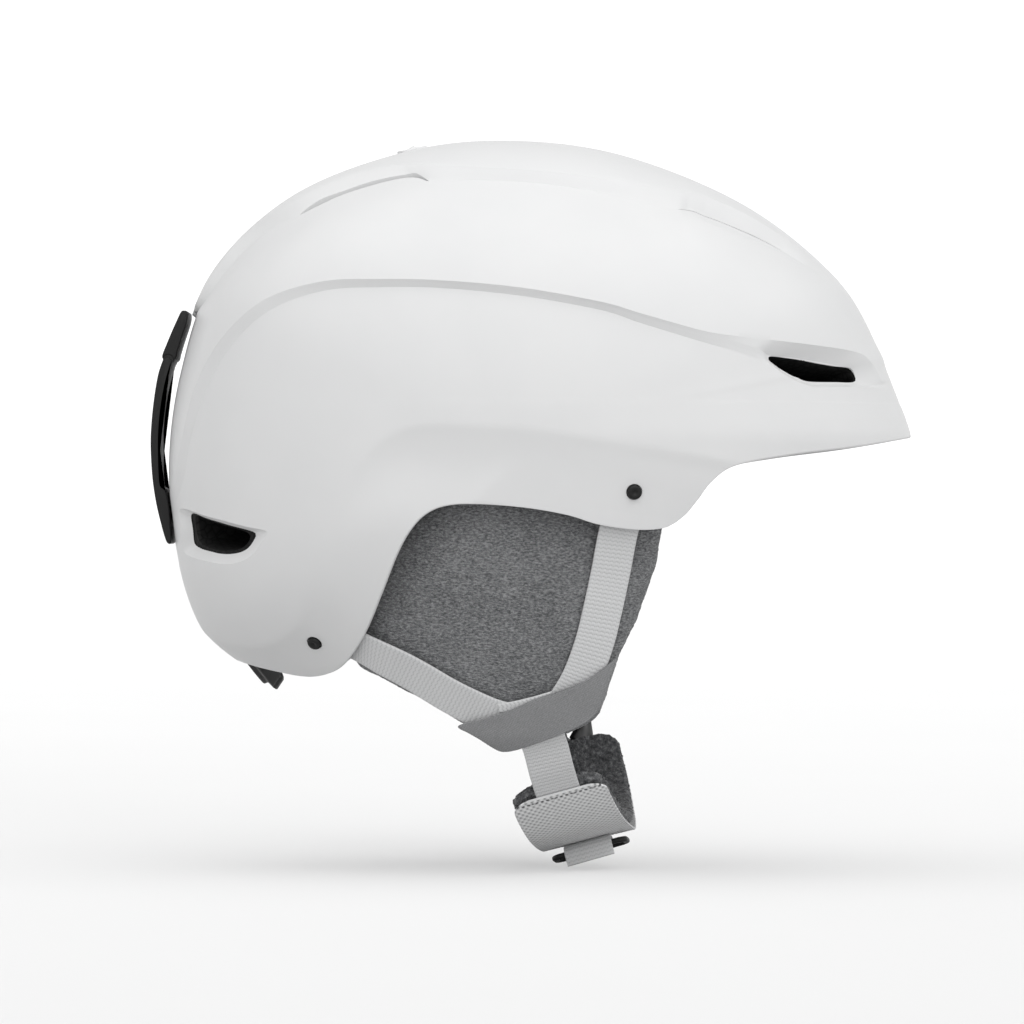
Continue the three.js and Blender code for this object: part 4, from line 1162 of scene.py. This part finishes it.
def ear_pad():
    """The ear pad: a swollen cushion with two faint seams and a pebbled fleece surface."""
    rim = even(EAR_RIM, 150, True)
    centre = np.array([4, -62])

    def lift(x, z, h):
        base = ear_face(x, z)
        return np.stack([x, base - EAR_THICK * (1 - h) - 0.8 * np.ones_like(x), z], -1)

    pad, shape = pillow("ear_pad", rim, centre, lift, rings=14, rim_share=0.13)
    puff(pad, 0.9, 2.5)
    finer(pad, shape, 4, 3)
    co = points_of(pad)
    groove = np.zeros(len(co))
    for line in EAR_SEAMS:
        d, share = beside(line, co[:, [0, 2]])
        length = smooth(0, 0.05, share) * (1 - smooth(0.9, 1, share))
        groove += 0.42 * np.exp(-(d / 0.8) ** 2) * (length * 0.8 + 0.2)
    outer = smooth(-6, -3, co[:, 1] - ear_face(co[:, 0], co[:, 2]))
    co[:, 1] -= groove * outer
    move_to(pad, co)
    return rough_up(pad, [(0.13, (1.1, 1.1, 0.65)), (0.1, (0.55, 0.55, 0.4)), (0.25, (9, 9, 7))])


BAND_RIM = [
    (43.4, -85.2), (37.5, -89.9), (31.5, -93.2), (24.1, -96.2), (18.4, -98.1), (12.6, -100.2), (6.1, -103),
    (-0.5, -105.7), (-7.8, -108.1), (-16.6, -110.6), (-12, -113.6), (-8, -116), (-3.7, -118.9),
    (-0.1, -120.5), (4.5, -120), (12.6, -117.6), (20.8, -114.4), (28.2, -111.2), (34.6, -107.4), (38, -102.6),
    (40.6, -95),
]


def ear_band():
    """The elastic band over the foot of the ear pad, drawn tight over the straps."""
    rim = even(BAND_RIM, 160, True)

    def lift(x, z, h):
        height = 3.4 + 1.0 * h - 1.2 * smooth(30, 44, x)
        drop = 2.2 * np.clip((-z - 113) / 8, 0, 1) ** 2
        back = 1.3 * np.clip((-x - 6) / 10, 0, 1) ** 2
        return np.stack([x, ear_face(x, z) + height - drop - back, z], -1)

    band, shape = pillow("band", rim, [13, -107.5], lift, rings=10, power=2.2, rim_share=0.035)
    finer(band, shape, 2, 2)
    return rough_up(band, [(0.035, (0.8, 0.8, 0.5)), (0.25, (12, 12, 9))])


def divider():
    """A thin moulded plate under the elastic band, where the webbing meets."""
    rim = even([(25, -101.5), (27, -105), (16, -111.5), (7, -110.5), (3, -107.5), (8, -105), (16, -103.5),
                (21, -101)], 90, True)

    def lift(x, z, h):
        return np.stack([x, ear_face(x, z) + 1.9 + 0.7 * h, z], -1)

    return smooth_shade(pillow("divider", rim, [15, -106.5], lift, rings=6, rim_share=0.1)[0], 40)


def cavity_point(turn, across, inset):
    """Points of the head cavity, from the turn of its side view and the share of its width."""
    edge = spline(CAVITY, np.asarray(turn) % 1.0, True)
    angle = np.pi * np.asarray(across)
    reach = np.sin(angle) ** (2 / ROUND) * (1 - inset / np.hypot(edge[:, 0], edge[:, 1]))
    y = -np.sign(np.cos(angle)) * np.abs(np.cos(angle)) ** (2 / ROUND) * (CAVITY_HALF_WIDTH - inset)
    return np.stack([edge[:, 0] * reach, y, edge[:, 1] * reach], -1)


def squircle(count=96, power=5):
    """A rounded unit square."""
    t = np.linspace(0, 2 * np.pi, count, endpoint=False)
    c, s = np.cos(t), np.sin(t)
    return np.stack([np.sign(c) * np.abs(c) ** (2 / power), np.sign(s) * np.abs(s) ** (2 / power)], 1)


def comfort_pad(turns, acrosses, thick):
    """Makes a pad inside the cavity, between two turns of its side view and two shares of its width."""
    def make():
        mid = np.array([sum(turns), sum(acrosses)]) / 2
        half = np.array([turns[1] - turns[0], acrosses[1] - acrosses[0]]) / 2
        lift = lambda a, b, h: cavity_point(a, b, thick - (thick - 1.0) * h)
        pad, shape = pillow("pad", mid + squircle(72) * half, mid, lift, rings=9, rim_share=0.2)
        puff(pad, 0.8, 2.0)
        finer(pad, shape, 3, 2)
        return rough_up(pad, [(0.12, (1.3, 1.3, 1.3)), (0.3, (11, 11, 11))])
    return make


def nape_cushion():
    """The pad of the cradle, round the nape."""
    path = [(-80, -30, -52), (-87.5, -16, -52), (-90.4, 0, -52), (-87.5, 16, -52), (-80, 30, -52)]
    made = ribbon(path, 22, -2.2, 2.2, (-0.8, -0.6, 0.1), (-0.8, 0.6, 0.1), spacing=1.6, across=12,
                  corner=2.1, taper=round_ends(7))
    puff(made, 0.5, 1.5)
    finer(made, shape_of(made, 12), 2, 2)
    return rough_up(made, [(0.12, (1.3, 1.3, 1.3))])


# ---------- the chin loop ----------
CHIN_PATH = [
    (16.9, -70.6, -119.8), (19.4, -64.5, -129.5), (23, -53.5, -140.2), (28, -36, -149.6), (32.8, -10, -155),
    (34.2, 14, -154.6), (33.6, 32, -148.6), (31.6, 43.5, -137.5), (27.5, 49.5, -122),
]
CHIN_WIDE = ((0.94, -0.1, 0.31), (0.98, 0.06, 0.17))
UNDER_BAND = [(12.5, -103.5, 1.05), (14, -109.5, 1.05), (15.4, -114.9, 1.2)]  # x, z and height off the pad


def chin_piece(width, low, high, start, end, **options):
    """A strip along the chin loop, from one share of its length to another."""
    return ribbon(CHIN_PATH, width, low, high, *CHIN_WIDE, start=start, end=end, width_first=True, **options)


def near_strap():
    """One length of webbing, from under the right ear pad's band to the far end of the chin pad."""
    mirror = np.array([1, -1, 1])
    top = [on_face(x, z, height) * mirror for x, z, height in UNDER_BAND]
    points = top + [np.array(p, float) for p in CHIN_PATH]
    p, d, s, t = course(points, 0, 0.985, 0.24)
    loop = np.clip((t * (len(points) - 1) - 3) / (len(CHIN_PATH) - 1), 0, 1)
    first, last = np.array(CHIN_WIDE[0], float), np.array(CHIN_WIDE[1], float)
    wide = first + (last - first) * loop[:, None]
    flat = out_of(ear_face, 14, -109) * mirror
    level = np.cross(d, flat)
    level *= np.sign(level[:, :1])
    level /= np.linalg.norm(level, axis=1, keepdims=True)
    mix = smooth(0, 14, s)[:, None]
    wide = level * (1 - mix) + wide * mix
    wide -= (wide * d).sum(1)[:, None] * d
    wide /= np.linalg.norm(wide, axis=1)[:, None]
    return strip(p, s, wide, np.cross(d, wide), CHIN_WEBBING_WIDTH, -WEBBING_HALF, WEBBING_HALF, across=26,
                 relief=ribs)


def far_strap():
    """The far side's webbing in two lengths, from under the ear pad's band round into the buckle's socket."""
    upper = [on_face(*place) for place in UNDER_BAND]
    upper += [(16.8, 70.3, -119.6), (18.6, 67.9, -123.8), (20.6, 64.8, -125.9)]
    lower = [(19.6, 66.3, -125.3), (20.6, 64.8, -125.9), (23.6, 60.4, -124.8), (26, 57.2, -121.4)]
    seam = (0.1, 0.45, -0.9)
    return webbing(upper, out_of(ear_face, 13, -104), seam), webbing(lower, seam, (0, 0.75, -0.65))


def chin_fleece():
    """The fleece inside of the chin pad."""
    made = chin_piece(36, -5.4, -1.05, 0.19, 1.0, spacing=1.5, across=20, corner=2.1, taper=round_ends(6))
    puff(made, 0.5, 1.5)
    finer(made, shape_of(made, 20), 3, 3)
    return rough_up(made, [(0.34, (1.3, 1.3, 1.3)), (0.24, (0.6, 0.6, 0.6)), (0.3, (7, 7, 7))])


def hung(points):
    """Places the slider's own coordinates under the pad: turned about X, then Y, then Z."""
    ax, ay, az = (math.radians(a) for a in (-8, -16, -6))
    turn = Matrix.Rotation(az, 3, "Z") @ Matrix.Rotation(ay, 3, "Y") @ Matrix.Rotation(ax, 3, "X")
    return np.asarray(points, float) @ np.array(turn).T + [34.6, -8, -160.8]


def slider_ring():
    """The rectangular slider under the chin pad."""
    corner = [(-1, -1), (1, -1), (1, 1), (-1, 1)]
    centre = []
    for (cx, cy), a0 in zip(corner, (180, 270, 0, 90)):
        for a in np.radians(np.linspace(a0, a0 + 90, 10)):
            centre.append((cx * 10.9 + 3.2 * math.cos(a), cy * 2.6 + 3.2 * math.sin(a)))
    c, n = outlined(centre, 140)
    t = np.linspace(0, 2 * np.pi, 16, endpoint=False)
    q = np.stack([np.cos(t), np.sin(t)], 1)
    q = np.sign(q) * np.abs(q) ** 0.7
    rings = hung(np.array([[(*(c[i] + n[i] * 1.2 * a), 1.1 * b) for a, b in q] for i in range(len(c))]))
    verts = rings.reshape(-1, 3)
    m = len(q)
    faces = []
    for i in range(len(c)):
        here, ahead = i * m, (i + 1) % len(c) * m
        faces += [(here + j, here + (j + 1) % m, ahead + (j + 1) % m, ahead + j) for j in range(m)]
    return smooth_shade(outward(mesh("ring", verts, faces)), 50)


def tail():
    """The folded end of the webbing, through the slider."""
    path = hung([(0, 0.5, 1.2), (0, -2.2, 2.2), (0, -6, 2.6), (0, -8.9, 0), (0, -9.4, -5)])
    start = hung([(0, 0, 0)])[0]
    first, last = hung([(0, 0, 1)])[0] - start, hung([(0, -1, 0)])[0] - start
    return ribbon(path, 19, -0.6, 0.6, first, last, relief=ribs)


# ---------- hard trim ----------
def rounded_prism(outline, half, bevel=0.5, count=150):
    """Rings of a side-view outline extruded across the helmet with rounded edges."""
    line, n = outlined(outline, count)
    area = (line[:, 0] * np.roll(line[:, 1], -1) - np.roll(line[:, 0], -1) * line[:, 1]).sum()
    n *= np.sign(area)
    arc = np.linspace(0, np.pi / 2, 5)
    steps = [(-half + bevel * (1 - math.cos(a)), bevel * (1 - math.sin(a))) for a in arc]
    inner = np.linspace(-half + bevel, half - bevel, 15)[1:-1]
    steps = steps + [(y, 0.0) for y in inner] + [(-y, k) for y, k in steps[::-1]]
    rings = []
    for y, k in steps:
        at = line - n * k
        rings.append(np.stack([at[:, 0], np.full(len(at), y), at[:, 1]], 1))
    return rings


def retainer_base():
    """The foot of the goggle-strap retainer, bored for its hinge."""
    foot = [(-124.4, 48), (-123.2, 48.5), (-121.9, 48), (-121.8, 45.6), (-122.6, 42.4), (-124.4, 37),
            (-125.8, 32.4), (-126.4, 30), (-127.6, 29), (-129.4, 28.6), (-131, 29.4), (-131.7, 31),
            (-130, 35.5), (-127.7, 41), (-125.9, 45)]
    made = tube("base", rounded_prism(foot, 16, 0.6))
    cut(made, rod((-129.4, -17, 29.5), (-129.4, 17, 29.5), 2.2, 48))
    return smooth_shade(made, 35)


def retainer_band():
    """The retainer's curved arm with its hinge barrel."""
    line = [(-129.6, 30.4), (-131, 30), (-132, 27.8), (-133.3, 23.6), (-134.6, 16.4), (-135.7, 7),
            (-136.2, -2), (-135.9, -11.3), (-135.2, -19), (-133.9, -26.9), (-132.2, -34), (-130.6, -39.6),
            (-129.8, -41.4), (-128.8, -42), (-128.2, -40.6), (-128.6, -33), (-129.2, -26.5), (-130.1, -21.4),
            (-131.2, -20.1), (-132.1, -19.2), (-132.6, -14), (-132.8, -2), (-132.4, 6), (-131.4, 14),
            (-129.9, 21.5), (-128.4, 26.6), (-127.9, 29)]
    rings = rounded_prism(line, 16, 0.55, 200)
    made = tube("band", rings)
    cut(made, rod((-129.4, -15.7, 29.5), (-129.4, 15.7, 29.5), 2.05, 48), "UNION")
    return smooth_shade(made, 35)


def crown_thumb():
    """A low thumb button with a cross rib, on a rail in the crown's slot."""
    centre, radius = np.array([0.8, -53.5]), 168.5
    def place(along, y, depth):
        angle = np.radians(along)
        r = radius - depth
        return np.stack([centre[0] + r * np.sin(angle), y, centre[1] + r * np.cos(angle)], -1)
    rim = squircle(72, 3.4) * [1.85, 4.9]
    mid = np.array([-12, 0.0])
    def lift(a, b, h):
        ridge_up = 0.9 * np.exp(-((a + 12.1) / 0.4) ** 2) * (1 - smooth(3.4, 4.6, np.abs(b))) * (h > 0.5)
        return place(a, b, 1.2 - 2.1 * h - ridge_up)
    top, _ = pillow("thumb", mid + rim, mid, lift, rings=16, rim_share=0.25)
    return smooth_shade(top, 60)


def thumb_stem():
    """The stem that joins the thumb button to its shutter."""
    ring = []
    for z in (0.0, 1.0):
        ring.append([(-40.8 + 11 * a, 2.0 * b, 106.9 + 5.1 * z + (a - 0.5) * 2.2)
                     for a, b in ((0, -1), (1, -1), (1, 1), (0, 1))])
    return tube("stem", ring)


def dial():
    """The fluted dial, turned about its own tilted axis."""
    centre, axis = np.array([-100, 0, -87.0]), np.array([-0.8, 0, -0.6])
    u, v = np.array([0.6, 0, -0.8]), np.array([0, 1.0, 0])
    turn = np.linspace(0, 2 * np.pi, 240, endpoint=False)
    spoke = np.cos(turn)[:, None] * u + np.sin(turn)[:, None] * v
    flute = np.clip(-np.cos(8 * turn), 0, 1) ** 7
    profile = [(2.9, -8), (13.6, -8), (14.6, -7.7), (15.4, -7), (16.8, -3), (16.6, -2.5), (15.6, -2.1),
               (12.9, -1.8), (12.4, -1.4), (12.2, -0.4), (11.8, 0), (10.2, 0), (9.7, -0.3), (9.3, -0.8),
               (3, -0.8), (1, -0.8)]
    rings = []
    for r, h in profile:
        cut_in = 0.8 * flute * np.clip((r - 13) / 1.6, 0, 1)
        rr = (r - cut_in)[:, None]
        rings.append(centre + axis * h + spoke * rr)
    return smooth_shade(tube("dial", rings), 35)


def build():
    """Makes every piece and hangs it on its body."""
    put(make_shell(), "outer_shell", "helmet", "shell", "upper_shell", "lower_shell_wrap")
    put(make_liner(), "foam_liner", "helmet", "foam", "impact_liner")
    both_sides(ear_pad, "fleece_ear_pad", "helmet", "ear_fleece", "ear_pad", fill=0.7)
    both_sides(ear_band, "elastic_band", "helmet", "knit", "ear_pad_band")
    both_sides(divider, "divider", "helmet", "black_plastic", "strap_divider")
    both_sides(front_strap, "front_webbing", "helmet", "webbing", "front_strap")
    both_sides(rear_strap, "rear_webbing", "helmet", "webbing", "rear_strap")
    both_sides(rear_strap_tip, "rear_webbing_tip", "helmet", "webbing")
    for place in RIVETS:
        both_sides(rivet(place), "rivet_" + place, "helmet", "black_plastic", "strap_rivet_" + place)
    put(comfort_pad((0.215, 0.285), (0.36, 0.64), 7)(), "crown_comfort_pad", "helmet", "fleece", "crown_pad")
    put(comfort_pad((0.005, 0.08), (0.27, 0.73), 7.5)(), "brow_comfort_pad", "helmet", "fleece", "brow_pad")
    both_sides(comfort_pad((0.12, 0.4), (0.72, 0.88), 7), "side_comfort_pad", "helmet", "fleece", "side_pad",
               fill=0.7)
    put(nape_cushion(), "nape_cushion", "cradle", "fleece", "nape_pad")

    strap = put(near_strap(), "chin_webbing", None, "webbing", "chin_strap", "lower_strap_right")
    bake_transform(strap)
    put(chin_piece(37, 1.05, 2.1, 0.195, 0.96, spacing=0.3, across=110, corner=0.5, relief=basket,
                   taper=round_ends(5)), "chin_pad_outer", "chin_loop", "woven_nylon", "chin_pad_cover")
    put(chin_fleece(), "chin_pad_lining", "chin_loop", "fleece", "chin_pad_fleece")
    put(slider_ring(), "slider_ring", "chin_loop", "black_plastic", "strap_slider")
    put(tail(), "folded_tail", "chin_loop", "webbing", "strap_tail")
    put(chin_piece(21, 2.5, 4.6, 0.86, 0.985, spacing=0.8, across=14, corner=0.8, taper=round_ends(4)),
        "buckle_stud_half", "chin_loop", "black_plastic", "buckle_stud_plate")
    put(chin_piece(24, 4.95, 10.2, 0.85, 0.985, spacing=0.8, across=16, corner=1.8, taper=round_ends(6)),
        "buckle_socket_half", "buckle", "black_plastic", "buckle_socket")
    put(ribbon([(31.6, 49.8, -124), (33, 52.8, -120.4), (34.8, 55.6, -117),
                (36.4, 57.8, -113.8)], 15, 0.9, 3.1, (0, 0.7, 0.7),
               (0, 0.6, 0.8), spacing=0.8, across=12), "buckle_tongue", "buckle", "black_plastic")
    top, foot = far_strap()
    put(top, "far_webbing_top", None, "webbing", "lower_strap_left")
    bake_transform(top)
    put(foot, "far_webbing", None, "webbing", "far_lower_strap")
    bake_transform(foot)

    put(retainer_base(), "retainer_foot", "helmet", "black_plastic", "retainer_base")
    put(retainer_band(), "retainer_arm", "retainer", "black_plastic", "retainer_band")
    put(crown_thumb(), "crown_thumb", "vent_slider", "shell", "vent_slider_knob")
    put(thumb_stem(), "crown_thumb_stem", "vent_slider", "shell")
    put(dial(), "fit_dial", "dial", "grey_plastic", "dial_knob")


build()


# ---------- stage, lights, camera ----------
def studio():
    """A wide pale floor under an even sky that brightens towards the horizon, and two very soft lights."""
    x, y, z = FLOOR_SIZE * 500, FLOOR_SIZE * 500, FLOOR_Z * 1000
    floor = mesh("studio_floor", [(-x, -y, z), (x, -y, z), (x, y, z), (-x, y, z)], [(0, 1, 2, 3)])
    paint(floor, floor_finish())

    world = bpy.data.worlds.new("studio")
    bpy.context.scene.world = world
    world.use_nodes = True
    nodes, links = world.node_tree.nodes, world.node_tree.links
    nodes["Background"].inputs["Color"].default_value = (1, 1, 1, 1)
    where = nodes.new("ShaderNodeTexCoord")
    split = nodes.new("ShaderNodeSeparateXYZ")
    band = nodes.new("ShaderNodeMapRange")
    band.interpolation_type = "SMOOTHSTEP"
    band.inputs["From Min"].default_value = 0.1
    band.inputs["From Max"].default_value = 0.35
    band.inputs["To Min"].default_value = HORIZON
    band.inputs["To Max"].default_value = SKY
    links.new(where.outputs["Generated"], split.inputs["Vector"])
    links.new(split.outputs["Z"], band.inputs["Value"])
    links.new(band.outputs["Result"], nodes["Background"].inputs["Strength"])

    for name, turn, tilt, spread, power in LIGHTS:
        light = bpy.data.lights.new(name, "SUN")
        light.angle, light.energy = math.radians(spread), power
        o = bpy.data.objects.new(name, light)
        o.rotation_euler = (math.radians(tilt), 0, math.radians(turn))
        bpy.context.scene.collection.objects.link(o)


studio()

camera = bpy.data.objects.new("camera", bpy.data.cameras.new("camera"))
bpy.context.scene.collection.objects.link(camera)
bpy.context.scene.camera = camera
camera.location = (0.0039, -2.5, -0.0296)
camera.rotation_euler = (math.pi / 2, 0, 0)
camera.data.sensor_width = 36
camera.data.lens = 36 * 2.5 / 0.3994
camera.data.clip_end = 300
bpy.context.scene.view_settings.view_transform = "Standard"
